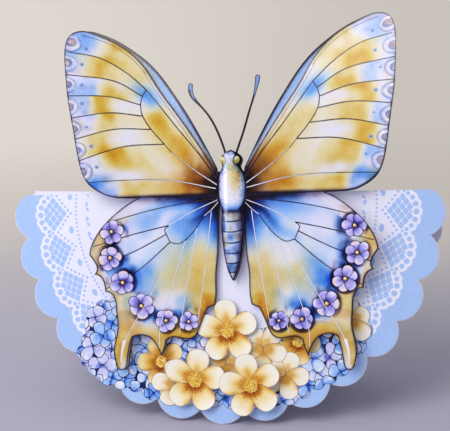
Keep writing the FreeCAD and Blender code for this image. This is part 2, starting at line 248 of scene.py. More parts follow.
# Sheets of paper.
def traced(following):
    """Closed rows of points, from a dictionary of the point that follows each one."""
    loops = []
    while following:
        start, here = following.popitem()
        loop = [start]
        while here != start:
            loop.append(here)
            here = following.pop(here)
        loops.append(loop)
    return loops


def front_skin(node):
    """The printed side of a CAD sheet: its outline in order, anticlockwise, and its lowest and highest z."""
    mesh = frame["nodes"][node].data
    corners = to_panel([v.co for v in mesh.vertices])
    names = [tuple(row) for row in np.round(corners, 3)]
    edges = {}
    heights = []
    for face in mesh.polygons:
        if np.dot(face.normal, OUT) > 0.5:
            ring = [names[i] for i in face.vertices]
            heights += [corner[2] for corner in ring]
            for a, b in zip(ring, ring[1:] + ring[:1]):
                if edges.get((b, a)):
                    del edges[(b, a)]
                elif a != b:
                    edges[(a, b)] = True
    loops = [np.array(loop)[:, :2] for loop in traced(dict(edges.keys()))]
    return max(loops, key=signed_area), min(heights), max(heights)


def divided(loop, step):
    """The same closed outline with no stretch longer than the step."""
    points = []
    for a, b in zip(loop, np.roll(loop, -1, axis=0)):
        count = max(1, math.ceil(np.linalg.norm(b - a) / step))
        points += [a + (b - a) * i / count for i in range(count)]
    return np.array(points)


def grid(loop, step):
    """Evenly spread points inside an outline, in a triangular pattern, clear of its edge."""
    low, high = loop.min(0), loop.max(0)
    rows = np.arange(low[1], high[1], step * math.sqrt(0.75))
    columns = np.arange(low[0], high[0], step)
    x, y = np.meshgrid(columns, rows)
    x[1::2] += step / 2
    points = np.stack([x.ravel(), y.ravel()], axis=1)
    points = points[inside(points, loop)]
    return points[distance(points, loop, closed=True) > EDGE_CLEARANCE * step]


def triangulated(outline, shapes, loose):
    """Triangles inside the outline, cut along every shape, with the shapes that each one lies in."""
    rings = [outline] + [s if signed_area(s) > 0 else s[::-1] for s in shapes]
    points = np.vstack(rings + [loose])
    faces, first = [], 0
    for ring in rings:
        faces.append(list(range(first, first + len(ring))))
        first += len(ring)
    corners, _, triangles, _, _, owners = delaunay_2d_cdt(
        [Vector(p) for p in points], [], faces, 1, 1e-4, True)
    kept = [(t, [o - 1 for o in own if o > 0]) for t, own in zip(triangles, owners) if 0 in own]
    used = sorted({i for t, _ in kept for i in t})
    index = {old: new for new, old in enumerate(used)}
    return (np.array([corners[i][:] for i in used]), [[index[i] for i in t] for t, _ in kept],
            [own for _, own in kept])


def rim_loops(triangles):
    """The closed rows of points along the edges that only one triangle has."""
    edges = {(a, b) for t in triangles for a, b in zip(t, t[1:] + t[:1])}
    return traced({a: b for a, b in edges if (b, a) not in edges})


def rounded(point):
    """A name for a point, the same for another point in that place."""
    return tuple(np.round(point, 4))


def edge_line(outline, width, colour):
    """A thin line of ink round the edge of a sheet, in short straight strokes."""
    strokes = []
    for a, b in zip(outline, np.roll(outline, -1, axis=0)):
        run = (b - a) / max(np.linalg.norm(b - a), 1e-9) * width
        side = np.array((-run[1], run[0]))
        strokes.append((np.array([a - side, b - side, b + side, a + side]), colour))
    return strokes


class Sheet:
    """A closed sheet of paper over a CAD node, its printed side cut along the drawn shapes."""

    def __init__(self, name, node, shapes, step, lift, place=(0.0, 0.0), degrees=0.0, border=None):
        edge, low, high = front_skin(node)
        if border:
            shapes = shapes + edge_line(unplaced(edge, place, degrees), *border)
        self.outline = unplaced(divided(edge, step), place, degrees)
        low_corner, high_corner = self.outline.min(0), self.outline.max(0)
        shapes = [(polygon, colour) for polygon, colour in shapes
                  if np.all(polygon.max(0) > low_corner) and np.all(polygon.min(0) < high_corner)]
        self.points, self.triangles, self.owners = triangulated(
            self.outline, [polygon for polygon, colour in shapes], grid(self.outline, step))
        back, other_faces = self.back_and_cut_edge()
        heights = [lift(self.points, low, high), lift(back, low, high) - PAPER_THICKNESS]
        flat = placed(np.vstack([self.points, back]), place, degrees)
        self.object = self.closed_object(name, np.column_stack([flat, np.concatenate(heights)]), other_faces)
        self.print_shapes([colour for polygon, colour in shapes])
        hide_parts(node)
        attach(self.object, "root")

    def back_and_cut_edge(self):
        """Points of the plain back, and the faces of the back and of the cut edge."""
        rim = max(rim_loops(self.triangles), key=len)
        rim_points = self.points[rim]
        back, triangles, _ = triangulated(rim_points, [], grid(rim_points, BACK_STEP))
        front = {rounded(point): i for i, point in zip(rim, rim_points)}
        first = len(self.points)
        behind = {front[rounded(point)]: first + i for i, point in enumerate(back) if rounded(point) in front}
        faces = [[first + i for i in reversed(triangle)] for triangle in triangles]
        faces += [[b, a, behind[a], behind[b]] for a, b in zip(rim, rim[1:] + rim[:1])]
        return back, faces

    def closed_object(self, name, vertices, other_faces):
        """The sheet as an object: its printed side has the first material, the rest the second."""
        mesh = bpy.data.meshes.new(name)
        mesh.from_pydata(to_world(vertices).tolist(), [], self.triangles + other_faces)
        mesh.polygons.foreach_set("use_smooth", [True] * len(mesh.polygons))
        mesh.set_sharp_from_angle(angle=math.radians(SHARP_EDGE))
        materials = [0] * len(self.triangles) + [1] * len(other_faces)
        mesh.polygons.foreach_set("material_index", materials)
        made = bpy.data.objects.new(name, mesh)
        bpy.context.scene.collection.objects.link(made)
        return made

    def print_shapes(self, inks):
        """Drawn inks: each shape covers what lies under it by its own share."""
        members = {}
        for triangle, own in enumerate(self.owners):
            for number in own:
                members.setdefault(number, []).append(triangle)
        places = self.points[np.array(self.triangles)]
        printed = np.zeros((len(self.triangles), 3, 4))
        for number in sorted(members):
            chosen = np.array(members[number])
            fresh = inks[number]
            if callable(fresh):
                fresh = fresh(places[chosen].reshape(-1, 2)).reshape(-1, 3, 4)
            fresh = np.broadcast_to(fresh, (len(chosen), 3, 4))
            below = printed[chosen]
            cover = fresh[..., 3:]
            shows = below[..., 3:] * (1 - cover)
            total = cover + shows
            mixed = (fresh[..., :3] * cover + below[..., :3] * shows) / np.maximum(total, 1e-6)
            printed[chosen] = np.concatenate([mixed, total], axis=2)
        corners = np.zeros((len(self.object.data.loops), 4), np.float32)
        corners[:3 * len(self.triangles)] = printed.reshape(-1, 4)
        layer = self.object.data.attributes.new("line_ink", "FLOAT_COLOR", "CORNER")
        layer.data.foreach_set("color", corners.ravel())

    def print_washes(self, amber, blue, rust, violet, shade):
        """Soft inks: how strong each wash is at every point of the printed side."""
        count = len(self.object.data.vertices)
        for name, plates, full in (("washes", (amber, blue, rust, violet), FULL_WASH),
                                   ("shades", (shade,) * 4, (FULL_SHADE,) * 4)):
            values = np.zeros((count, 4), np.float32)
            values[:len(self.points)] = np.clip(np.stack(plates, axis=1), 0, MOST_STRENGTH) * full
            layer = self.object.data.attributes.new(name, "FLOAT_COLOR", "POINT")
            layer.data.foreach_set("color", values.ravel())

    def finish(self, context, print_name):
        """Gives the front its printed paper and the rest the plain one."""
        for name in (print_name, "plain"):
            self.object.data.materials.append(papers(context)[name])


# Drawings: every shape is a closed outline with its ink, which is (red, green, blue, cover) or a function of
# the points that gives those for each of them. Later shapes lie over earlier ones.
def ink(hex_colour, cover=1.0):
    """A flat ink and how much of what lies under it it hides."""
    return (*linear(hex_colour), cover)


def shaded(points, stops, share):
    """Inks for points along a row of colours, by each point's share of the way."""
    colours = np.array([linear(stop) for stop in stops])
    place = np.clip(share, 0, 1) * (len(stops) - 1)
    low = np.minimum(place.astype(int), len(stops) - 2)
    part = (place - low)[:, None]
    mixed = colours[low] * (1 - part) + colours[low + 1] * part
    return np.column_stack([mixed, np.ones(len(points))])


# Lace edging of the front sheet, one scallop after another round the disc. Radii and sizes are in
# millimetres, turns in degrees. A row of holes is: turn from the scallop's middle, radius, diameter.
SCALLOP_PITCH = 360.0 / 29
SCALLOPS_EACH_SIDE = 8
LACE_RINGS = ((0.0, 87.2, 2.65), (2.33, 86.8, 2.5), (4.2, 85.5, 2.2), (5.5, 83.6, 1.85))
LACE_BAND = 1.35
LACE_EDGE_TURN = 112
LACE_EDGE_STEP = 0.3
LACE_LEAST_RADIUS = 80
LACE_GROUND_RADIUS = 112
LACE_CORNER_DOT = (84.7, 1.1)       # radius, diameter
LACE_NOTCH_DOT = (81.9, 1.2)
LACE_CELL = (1.6, 1.33)             # half width, half height
LACE_CELL_CUT = (0.3, 0.25)         # half widths of the cell's flat ends and sides
LACE_CELL_STEP = (2.1, 1.7)
LACE_CELL_START = 75.8
LACE_CELL_ROWS = 4
LACE_ZIGZAG = (72.4, 79.4, 1.25, 5)     # radius at its tip and top, diameter, dots on each side
LACE_ARC = (69.8, 1.1, 8)               # radius, diameter, dots to a scallop
LACE_LEAF = (72.8, 1.9, 1.15)           # radius, half length, half width
LACE_BUD = (64.6, 1.15, 0.7)
LACE_BUD_TURN = 2.8
LACE_BUD_LEAF = (64.2, 1.25, 0.55)
LACE_BUD_LEAF_TURNS = (2.2, 35)         # round the disc from its bud, and about itself


def disc_point(radius, degrees):
    """A place on the disc, by its turn from straight down."""
    angle = math.radians(degrees)
    return radius * math.sin(angle), -radius * math.cos(angle)


def dot(radius, degrees, diameter, count=14):
    """A round hole at a place on the disc."""
    return ellipse(disc_point(radius, degrees), diameter / 2, diameter / 2, count=count)


def leaf(radius, degrees, half_length, half_width, turn=0.0):
    """A pointed oval lying along the edge."""
    angle = np.linspace(0, 2 * math.pi, 16, endpoint=False)
    side = np.sin(angle)
    shape = np.stack([half_length * np.cos(angle), half_width * side * (0.35 + 0.65 * np.abs(side))], axis=1)
    return placed(shape, disc_point(radius, degrees), degrees + turn)


def lace_cells(middle):
    """Eight-sided cells of the lattice in the middle of a scallop."""
    (wide, high), (flat_wide, flat_high) = LACE_CELL, LACE_CELL_CUT
    corners = [(wide, flat_high), (flat_wide, high), (-flat_wide, high), (-wide, flat_high)]
    cell = np.array(corners + [(-x, -y) for x, y in corners])
    cells = []
    for i in range(LACE_CELL_ROWS):
        for j in range(LACE_CELL_ROWS):
            if i + j < 2 * LACE_CELL_ROWS - 2:
                across = (i - j) * LACE_CELL_STEP[0]
                down = -(LACE_CELL_START + (i + j) * LACE_CELL_STEP[1])
                cells.append(turned(cell + (across, down), middle))
    return cells


def lace_scallop(middle):
    """Every hole of the lace of one scallop and of the notch after it."""
    notch = middle + SCALLOP_PITCH / 2
    turn, radius, diameter = LACE_RINGS[0]
    holes = [dot(radius, middle + turn, diameter, 20)]
    for side in (-1, 1):
        for turn, radius, diameter in LACE_RINGS[1:]:
            holes.append(dot(radius, middle + side * turn, diameter, 18))
    radius, diameter = LACE_CORNER_DOT
    holes.append(dot(radius, middle, diameter))
    radius, diameter = LACE_NOTCH_DOT
    holes.append(dot(radius, notch, diameter))
    holes += lace_cells(middle)
    tip, top, diameter, steps = LACE_ZIGZAG
    for k in range(1 - steps, steps + 1):
        share = k / steps
        holes.append(dot(tip + (top - tip) * abs(share), middle + share * SCALLOP_PITCH / 2, diameter, 12))
    radius, diameter, count = LACE_ARC
    holes += [dot(radius, middle + (k + 0.5) * SCALLOP_PITCH / count, diameter, 10) for k in range(count)]
    radius, half_length, half_width = LACE_LEAF
    holes.append(leaf(radius, notch, half_length, half_width))
    for place in (middle + LACE_BUD_TURN, notch + LACE_BUD_TURN):
        radius, half_length, half_width = LACE_BUD
        holes.append(ellipse(disc_point(radius, place), half_length, half_width, place))
        radius, half_length, half_width = LACE_BUD_LEAF
        further, turn = LACE_BUD_LEAF_TURNS
        holes.append(leaf(radius, place + further, half_length, half_width, turn))
    return holes


def lace_edge(middles):
    """The scalloped outer edge of the lace: a band of even width round the outer row of holes."""
    centres = np.array([(math.radians(middle + side * turn), radius, diameter / 2 + LACE_BAND)
                        for middle in middles for turn, radius, diameter in LACE_RINGS for side in (-1, 1)])
    angles, radii, reaches = centres.T
    points = []
    for angle in np.radians(np.arange(-LACE_EDGE_TURN, LACE_EDGE_TURN + 0.1, LACE_EDGE_STEP)):
        gap = angle - angles
        reach = reaches ** 2 - (radii * np.sin(gap)) ** 2
        met = (reach > 0) & (np.abs(gap) < 0.2)
        radius = (radii * np.cos(gap) + np.sqrt(np.maximum(reach, 0)))[met].max(initial=LACE_LEAST_RADIUS)
        points.append(disc_point(radius, math.degrees(angle)))
    return np.array(points)


def lace_shapes(inks):
    """The blue ground, the white lace on it, and the holes that show the ground again."""
    middles = [i * SCALLOP_PITCH for i in range(-SCALLOPS_EACH_SIDE, SCALLOPS_EACH_SIDE + 1)]
    ground = (*inks.lace_blue, 1.0)
    white = (*inks.print_white, 1.0)
    shapes = [(ellipse((0, 0), LACE_GROUND_RADIUS, LACE_GROUND_RADIUS, count=90), ground),
              (lace_edge(middles), white)]
    for middle in middles:
        shapes += [(hole, ground) for hole in lace_scallop(middle)]
    return shapes


# Petals and flowers.
def petal_outline(length, width, count=22, notch=0.0):
    """A rounded petal that points up from its base at the origin, notched at its tip."""
    angle = np.linspace(0, 2 * math.pi, count, endpoint=False)
    along = (1 - np.cos(angle)) / 2
    across = np.sin(angle) * width / 2 * (0.62 + 0.5 * along)
    tip = 1 - notch * np.exp(-(across / (0.22 * width)) ** 2) * (along > 0.5)
    return np.stack([across, along * tip * length], axis=1)


def drawn_petal(centre, turn, length, width, edge, edge_width, fill, notch=0.0, count=22):
    """A petal's dark outline and, inside it, its fill, which depends on the place in the petal."""
    outline = petal_outline(length, width, count, notch)
    middle = outline.mean(0)
    shrink = 1 - 2 * edge_width / np.array([width, length])
    inner = (outline - middle) * shrink + middle
    return [(placed(outline, centre, turn), edge),
            (placed(inner, centre, turn), lambda points: fill(unplaced(points, centre, turn), length, width))]


def blue_fill(tip, heart, seed):
    """Paint of a blue floret's petal: dark at its base, pale at its tip."""
    def fill(points, length, width):
        mottle = cloud(points, 1.1, seed) - 0.5
        broad = cloud(points, 3.0, seed + 1) - 0.5
        side = np.abs(points[:, 0]) / (width / 2)
        share = points[:, 1] / length + 0.4 * mottle + 0.5 * broad - 0.35 * side ** 3
        return shaded(points, ["#1D3E9E", heart, tip, tip, "#E3E9FB"], 0.85 * share + 0.2)
    return fill


def cream_fill(stops, seed, depth):
    """Paint of a cream petal: amber at its base and edges, deeper where depth is more."""
    def fill(points, length, width):
        across = points[:, 0] / (width / 2)
        reach = np.hypot(points[:, 0], points[:, 1]) / length
        angle = np.arctan2(points[:, 0], points[:, 1] + 0.8)
        streaks = 0.09 * np.sin(46 * angle + 3 * cloud(points, 3.0, seed)) * (1 - reach)
        base = 0.12 - 0.22 * depth - 0.3 * depth * (1 - ramp(reach, 0.2, 0.45))
        rim = np.abs(across) ** 3 * (0.7 - 0.34 * np.sign(across)) * ramp(reach, 0.2, 0.5)
        middle = (0.36 - 0.22 * depth) * fade(across, 0.36) * (1 - ramp(reach, 0.4, 0.95))
        patches = 0.2 * (cloud(points, 3.5, seed + 1) - 0.5)
        least = 0.04 + 0.24 * (1 - depth)
        return shaded(points, stops, np.maximum(1.3 * reach + base + streaks - rim - middle + patches, least))
    return fill


AMBER_PETAL = ("#8E3008", "#C97C20", "#DDAC4C", "#E7C87C", "#EEDAA6", "#F1E4C2", "#F2EAD6", "#F2EEE2")
GOLD_PETAL = ("#6E2408", "#B4701A", "#C98E2E", "#D4A244", "#DEB662", "#E8CB88", "#EEDCAC")
CREAM_PETAL = ("#C98A30", "#DDB262", "#ECDCB4", "#F1EADA", "#F1ECE2")
PETAL_ORDER = (0, 2, 4, 1, 3)       # later petals lie over earlier ones
PETAL_LINE = 0.22
HEART_SHARE = 0.235                 # a heart's radius, as a share of a petal's length
HEART_GROUND = ink("#D3A23C")
STAMEN_COUNT = 30
STAMEN_COLOUR = "#842406"
STAMEN_TIP_COLOUR = "#5A180C"
GRAIN_COUNT = 56
GRAIN_COLOURS = ("#E8C75E", "#F5E294", "#C4902E", "#E2BA50")
GOLDEN_TURN = 137.5                 # from one grain to the next, as in a seed head


def lower_share(degrees):
    """0 for what points up from a flower's middle, 1 for what points down, where the paint is deeper."""
    return 0.5 - 0.5 * math.cos(math.radians(degrees))


def flower_heart(centre, radius, seed):
    """A yellow disc of small grains with rust stamens round it."""
    rng = np.random.default_rng(seed)
    shapes = []
    for k in range(STAMEN_COUNT):
        angle = 360 / STAMEN_COUNT * k + rng.uniform(-4, 4)
        lower = lower_share(angle)
        reach = radius * (1.15 + 0.25 * rng.random() + 0.5 * lower)
        line = turned([(0, radius * 0.7), (0, reach)], angle)
        shapes.append((placed(ribbon(line, 0.2 + 0.35 * lower, 0.12), centre),
                       ink(STAMEN_COLOUR, 0.35 + 0.5 * lower)))
        if k % 2 == 0:
            shapes.append((placed(ellipse((0, 0), 0.26, 0.26, count=8), centre + line[1]),
                           ink(STAMEN_TIP_COLOUR, 0.3 + 0.6 * lower)))
    shapes.append((ellipse(centre, radius * 0.9, radius * 0.88, count=28), HEART_GROUND))
    for k in range(GRAIN_COUNT):
        share = (k + 0.5) / GRAIN_COUNT
        place = turned([(0, radius * 0.97 * math.sqrt(share))], k * GOLDEN_TURN)[0]
        grain = GRAIN_COLOURS[rng.integers(len(GRAIN_COLOURS))]
        shapes.append((ellipse(centre + place, 0.36, 0.32, count=7), ink(grain, 0.9)))
    return shapes


def drawn_flower(centre, turn, length, width, stops, edge, seed, heart=True):
    """Five petals, the lower ones deeper in colour, and the flower's heart."""
    centre = np.asarray(centre, float)
    shapes = []
    for k in PETAL_ORDER:
        direction = turn + 72 * k
        fill = cream_fill(stops, seed + k, lower_share(direction))
        shapes += drawn_petal(centre, direction, length, width, edge, PETAL_LINE, fill)
    if heart:
        shapes += flower_heart(centre, length * HEART_SHARE, seed)
    return shapes


CUT_PETAL = (14.7, 11.6)            # length and width
CUT_PETAL_EDGE = ink("#6A5048", 0.7)
CUT_FLOWER_BORDER = (0.12, ink("#6A5048", 0.75))    # width and ink


def cut_flower_shapes(seed):
    """Flower drawn to the cut edge of its paper: five petals a little larger than the cut."""
    return drawn_flower((0, 0), 0.0, *CUT_PETAL, AMBER_PETAL, CUT_PETAL_EDGE, seed)


SPRAY_FLOWER_EDGE = ink("#4E4660", 0.8)
BLOSSOM_EDGE = ink("#141C4E", 0.95)
SPRAY_BORDER = (0.16, BLOSSOM_EDGE)
BLOSSOM_GROUND = ink("#16225C")
BLOSSOM_EYE = ink("#1E2A62", 0.9)
BLOSSOM_BLUES = (("#C3D6FA", "#4A86EC"), ("#9BC0F8", "#2F6FE0"), ("#CBD6F8", "#5F88E6"),
                 ("#7FACF4", "#2459D2"), ("#C9CCF4", "#7480DA"), ("#A6C4F7", "#316FE0"))     # tip, heart
SPRAY_GROUND = np.array([(-80, -110), (80, -110), (80, -40), (-80, -40)], float)
SPRAY_SEED = 7
SPRAY_CORNER = (-68.0, -100.0)
SPRAY_SPAN = (138.0, 54.0)
FLORET_STEP = 8.4
FLORET_ROW_STEP = 0.8 * FLORET_STEP
SPRAY_FLOWERS = (                   # place, turn, petal length and width, colours
    ((-27.0, -78.0), 20, 11.5, 9.5, GOLD_PETAL),
    ((35.5, -67.0), 50, 10.5, 9.0, GOLD_PETAL),
    ((-20.0, -88.0), 10, 11.5, 9.5, CREAM_PETAL),
    ((30.0, -82.0), -20, 11.0, 9.5, CREAM_PETAL),
    ((59.0, -56.5), 8, 11.0, 9.5, CREAM_PETAL),
    ((3.0, -78.0), 0, 12.0, 10.0, CREAM_PETAL),
    ((20.0, -70.0), 36, 11.0, 9.5, CREAM_PETAL),
)


def floret(place, rng):
    """A blue floret of four petals, each a little different."""
    tip, heart = BLOSSOM_BLUES[rng.integers(len(BLOSSOM_BLUES))]
    size = rng.uniform(5.8, 7.4)
    turn = rng.uniform(0, 90)
    shapes = []
    for k in range(4):
        shapes += drawn_petal(place, turn + 90 * k + rng.uniform(-10, 10), size * rng.uniform(0.75, 1.1),
                              size * rng.uniform(0.8, 1.05), BLOSSOM_EDGE, rng.uniform(0.28, 0.5),
                              blue_fill(tip, heart, int(rng.integers(900))), 0.05, 16)
    return shapes + [(ellipse(place, 0.5, 0.5, count=8), BLOSSOM_EYE)]


def spray_shapes():
    """Blue florets over the whole spray, with larger gold and cream flowers over them."""
    rng = np.random.default_rng(SPRAY_SEED)
    places = []
    for row in range(int(SPRAY_SPAN[1] / FLORET_ROW_STEP) + 1):
        for column in range(int(SPRAY_SPAN[0] / FLORET_STEP) + 1):
            x = SPRAY_CORNER[0] + (column + 0.5 * (row % 2)) * FLORET_STEP
            y = SPRAY_CORNER[1] + row * FLORET_ROW_STEP
            places.append(np.array([x, y]) + rng.uniform(-1.4, 1.4, 2))
    shapes = [(SPRAY_GROUND, BLOSSOM_GROUND)]
    for place in rng.permutation(np.array(places)):
        shapes += floret(place, rng)
    for number, (place, turn, length, width, stops) in enumerate(SPRAY_FLOWERS):
        shapes += drawn_flower(place, turn, length, width, stops, SPRAY_FLOWER_EDGE, 40 + 9 * number,
                               heart=stops is GOLD_PETAL)
    return shapes


# The butterfly, right half, in millimetres about its own axis.
UPPER_ROOT = (6.0, 4.0)
UPPER_HUB = (24.0, 27.0)
LOWER_ROOT = (5.5, -3.0)
LOWER_HUB = (24.0, -13.0)
UPPER_MARGIN = np.array([(68, 77.5), (73.5, 75), (75.5, 69), (75.5, 58.5), (74.5, 45), (72.3, 31),
                         (70.1, 16.9), (68.4, 10.3), (65.6, 5.2), (61, 1.6)], float)
COSTA = np.array([(6.2, 8.8), (16.9, 26), (25.8, 39), (33.4, 50), (38.2, 58), (45, 65.6), (53, 71.3),
                  (60.3, 74.6), (67.6, 76.8)], float)
LOWER_MARGIN = np.array([(40, -0.4), (54.3, -9.2), (62.6, -18.9), (65.5, -27.2), (63.4, -36.3),
                         (58.5, -44.3), (53.6, -53.6), (46.5, -65.1), (38.2, -65.6), (31, -66.9),
                         (20.8, -66.3), (15.5, -61), (11.8, -52.4)], float)
UPPER_STEM = [(6.5, 6.5), (15, 18.5), (25, 31), (33, 41.5), (38.5, 48.5)]
UPPER_VEINS = (
    [(38.5, 48.5), (48, 57), (60, 64), (74.2, 67)],
    [(40.2, 45.5), (54, 53.2), (75.6, 56.5)],
    [(41.2, 41.5), (56, 45.8), (75, 46.5)],
    [(40.3, 36.3), (56, 38.2), (73.9, 36)],
    [(36.5, 30), (54, 30.4), (72.4, 26)],
    [(30.5, 23), (50, 22.2), (70.4, 16)],
)
UPPER_PALE_VEINS = (
    [(6.5, 3.5), (17, 10.8), (27, 19), (30.5, 23)],
    [(7, 1.8), (28, 6.2), (48, 6.8), (66.5, 6)],
)
UPPER_CELL_END = [(30.5, 23), (36.5, 30), (40.3, 36.3), (41.2, 41.5), (40.2, 45.5), (38.5, 48.5)]
LOWER_VEINS = (
    [(6, -2.6), (22, -4.6), (38, -7.5), (55, -12)],
    [(29, -14.5), (46, -18.4), (63.8, -23.5)],
    [(30.2, -18.5), (46, -26.5), (63, -33)],
    [(28.6, -22.2), (43, -34.5), (58.6, -43.2)],
)
LOWER_CELL = (
    [(12.5, -10.5), (18.5, -18.5), (24, -22.8), (28.6, -22.2)],
    [(29, -14.5), (31, -16.4), (30.2, -18.5), (28.6, -22.2)],
)
LOWER_PALE_VEINS = (
    [(25.5, -23.2), (33, -37), (41, -51.5), (47.5, -62), (50.6, -69), (51.8, -77)],
    [(21.5, -21.6), (28, -42), (33.5, -60), (34.2, -70)],
    [(16, -16.2), (20.5, -38), (25, -64)],
    [(9.2, -8.6), (12, -30), (16.2, -58)],
)
LOWER_PALE_STEMS = (
    [(6.2, -3.4), (18, -8.4), (29, -14.5)],
    [(6, -4.4), (9, -7.6), (12.5, -10.5)],
)
# A pale stroke down each tail: a painted highlight, where the bent tail catches the lamps.
TAIL_PAINTED_HIGHLIGHT = [(50.0, -66.5), (51.2, -71), (51.8, -76.5)]
WING_GAP = [(5, -1.5), (22, -1.5), (40, -1.2), (47, -1.6)]
EYESPOTS = ((55.4, -16.8, 5.8), (56.2, -28.8, 6.0), (50.6, -40.2, 6.2), (42.2, -51.0, 6.4),
            (31.0, -57.8, 5.6), (20.6, -58.4, 4.9))             # x, y, size
HALF_MOON_TOP = (71.5, 76)
HALF_MOON_DEPTH = 5.4
HALF_MOON_HEIGHT = 0.44             # half of it, as a share of the space between the veins

LINE_SEED = 3

# Pens: how wide a line is at its start and at its end.
STEM_PEN = (0.7, 0.5)
UPPER_VEIN_PEN = (0.64, 0.46)
UPPER_CELL_PEN = (0.55, 0.55)
PALE_VEIN_PEN = (0.7, 0.36)
PALE_VEIN_LIGHT_PEN = (0.4, 0.12)
LOWER_VEIN_PEN = (0.6, 0.46)
LOWER_CELL_PEN = (0.5, 0.5)
TAIL_VEIN_PEN = (0.62, 0.5)
TAIL_VEIN_LIGHT_PEN = (0.32, 0.27)
TAIL_HIGHLIGHT_PEN = (1.5, 0.4)
WING_GAP_PEN = (1.6, 0.3)
COSTA_PEN = (0.24, 0.34)

# The upper wing's lower edge, and how far below it the lower wing's colours take over.
WING_EDGE = -1.2
WING_BLEND = 0.4

# Where the bands of colour lie, as shares of the way from a wing's root to its margin.
UPPER_OUTER_BAND = (0.56, 0.74, 0.80, 0.90)
UPPER_CORE_BAND = (0.68, 0.76, 0.80, 0.87)
UPPER_BORDER = (0.86, 0.92)
LOWER_RING_BAND = (0.60, 0.76, 0.84, 0.92)
LOWER_BORDER = (0.89, 0.94)

# The cell that a wing's veins start from ends between these distances from the wing's hub.
UPPER_CELL_REACH = (17, 19)
LOWER_CELL_REACH = (9, 12)

# Stains used by themselves: centre, two half widths and the turn in degrees.
UPPER_HIND_GOLD = ((27, 4), 24, 6, 5)
UPPER_CLEAR_SPOT = ((39, 44), 7.5, 5)
UPPER_TIP_BLUE = ((68, 70), 5, 6)
LOWER_OUTER_BLUE = ((42, -40), 4.5, 12, 32)
LOWER_INNER_BLUE = ((24, -52), 6, 6)
LOWER_GOLD = ((27, -36), 8, 14, 18)

# Stains added up: the same after a strength.
UPPER_PALE_PANES = ((1.1, (47, 8.8), 13, 4.6, 6), (0.9, (49, 26), 8, 3, 0), (0.8, (51, 41.5), 7, 2.6, 0),
                    (0.7, (52, 51), 8, 2.4, 15), (0.6, (52, 65), 9, 3, 20))
UPPER_CELL_GOLD = ((1.0, (22, 20), 15, 6, 47), (0.9, (33, 34), 7, 4, 50))
UPPER_BLUES = ((0.85, (38.5, 46), 6.5, 3.0, 40), (0.85, (63, 5), 6, 2.6, -20))
UPPER_RUSTS = ((0.26, (20, 4), 10, 4, 0), (0.08, (24, 21), 8, 2.5, 47))
LOWER_RUSTS = ((0.25, (58, -15), 6, 4, 40), (0.15, (61.5, -24), 2.5, 5, 0), (0.15, (45, -62), 3, 4, 0),
               (0.25, (38, -66), 4, 2, 0), (0.4, (13.5, -57), 2.5, 3.5, 0), (0.25, (12, -51), 2, 4, 0))

# The butterfly's feelers stand above this height, and their clubs start between these heights.
FEELER_FOOT = 16.3
CLUB_START = (41, 44)

# How far the bands of colour move towards the root in each space between veins, from the lowest up, as a
# share of the way from root to margin.
UPPER_STEPS = np.array([0.03, -0.05, 0.02, -0.03, 0.045, -0.04, 0.02, -0.02])
LOWER_STEPS = np.array([0.02, -0.04, 0.03, -0.02, 0.05, -0.03, 0.04, 0.0, 0.02])


def painted(dark_colour, pale_colour, size):
    """A brushed patch: two colours run into each other and the wash below shows through in places."""
    def fill(points):
        mottle = cloud(points, size, 21)
        inked = shaded(points, [dark_colour, pale_colour], 1.6 * mottle - 0.3)
        inked[:, 3] = 0.38 + 0.5 * cloud(points, size * 0.6, 22)
        return inked
    return fill


def vein_ink(points):
    """Pen ink that runs from navy to a burnt brown along the line."""
    inked = shaded(points, ["#0E0C26", "#15102C", "#3B1710", "#1A1236", "#0E0C26"], cloud(points, 9.0, 31))
    inked[:, 3] = 0.82 + 0.16 * cloud(points, 3.0, 32)
    return inked


def half_moons():
    """Centre, half height and tilt of the pale half discs on the upper margin, one between each two veins."""
    ends = [HALF_MOON_TOP] + [vein[-1] for vein in UPPER_VEINS] + [UPPER_PALE_VEINS[1][-1]]
    moons = []
    for (ax, ay), (bx, by) in zip(ends, ends[1:]):
        tilt = math.degrees(math.atan2(ax - bx, ay - by))
        high = math.hypot(ax - bx, ay - by) * HALF_MOON_HEIGHT
        moons.append((((ax + bx) / 2, (ay + by) / 2), high, -tilt))
    return moons


def half_moon_shapes(place, high, tilt, side, inks, rng):
    """Ovals of ink and brushed colour, one inside the other, and a small blue spot beyond them."""
    flip = np.array((side, 1.0))
    deep = HALF_MOON_DEPTH * rng.uniform(0.86, 1.12)
    high = high * rng.uniform(0.84, 1.04)
    ovals = (
        (deep, 1.0, (*inks.line_ink, 0.45)),
        (deep - 0.34, 0.93, painted("#7D9CE2", "#C9D0F2", 1.9)),
        (deep - 1.0, 0.76, painted("#CDD2F4", "#F6F0EE", 2.3)),
        (deep * rng.uniform(0.5, 0.62), 0.5, (*inks.line_ink, 0.62)),
        (deep * 0.5, 0.4, painted("#4C78D8", "#B7A9C4", 1.7)),
        (deep * 0.26, 0.2, painted("#B4632A", "#E9D7B4", 1.2)),
    )
    shapes = []
    for depth, share, fill in ovals:
        middle = np.array(place) + rng.uniform(-0.3, 0.3, 2)
        shapes.append((ellipse(middle * flip, depth, high * share, side * tilt, 30), fill))
    spot = turned([(-deep - rng.uniform(1.4, 3.0), rng.uniform(-1, 1))], tilt)[0] + place
    size = rng.uniform(0.7, 1.25)
    return shapes + [
        (ellipse(spot * flip, size, 0.9 * size, count=14), ink("#6FA0F0", 0.6)),
        (ellipse(spot * flip, 0.5 * size, 0.5 * size, count=12), (*inks.line_ink, 0.8)),
        (ellipse((spot + (0.1, 0.15)) * flip, 0.2, 0.2, count=8), (*inks.print_white, 0.95))]


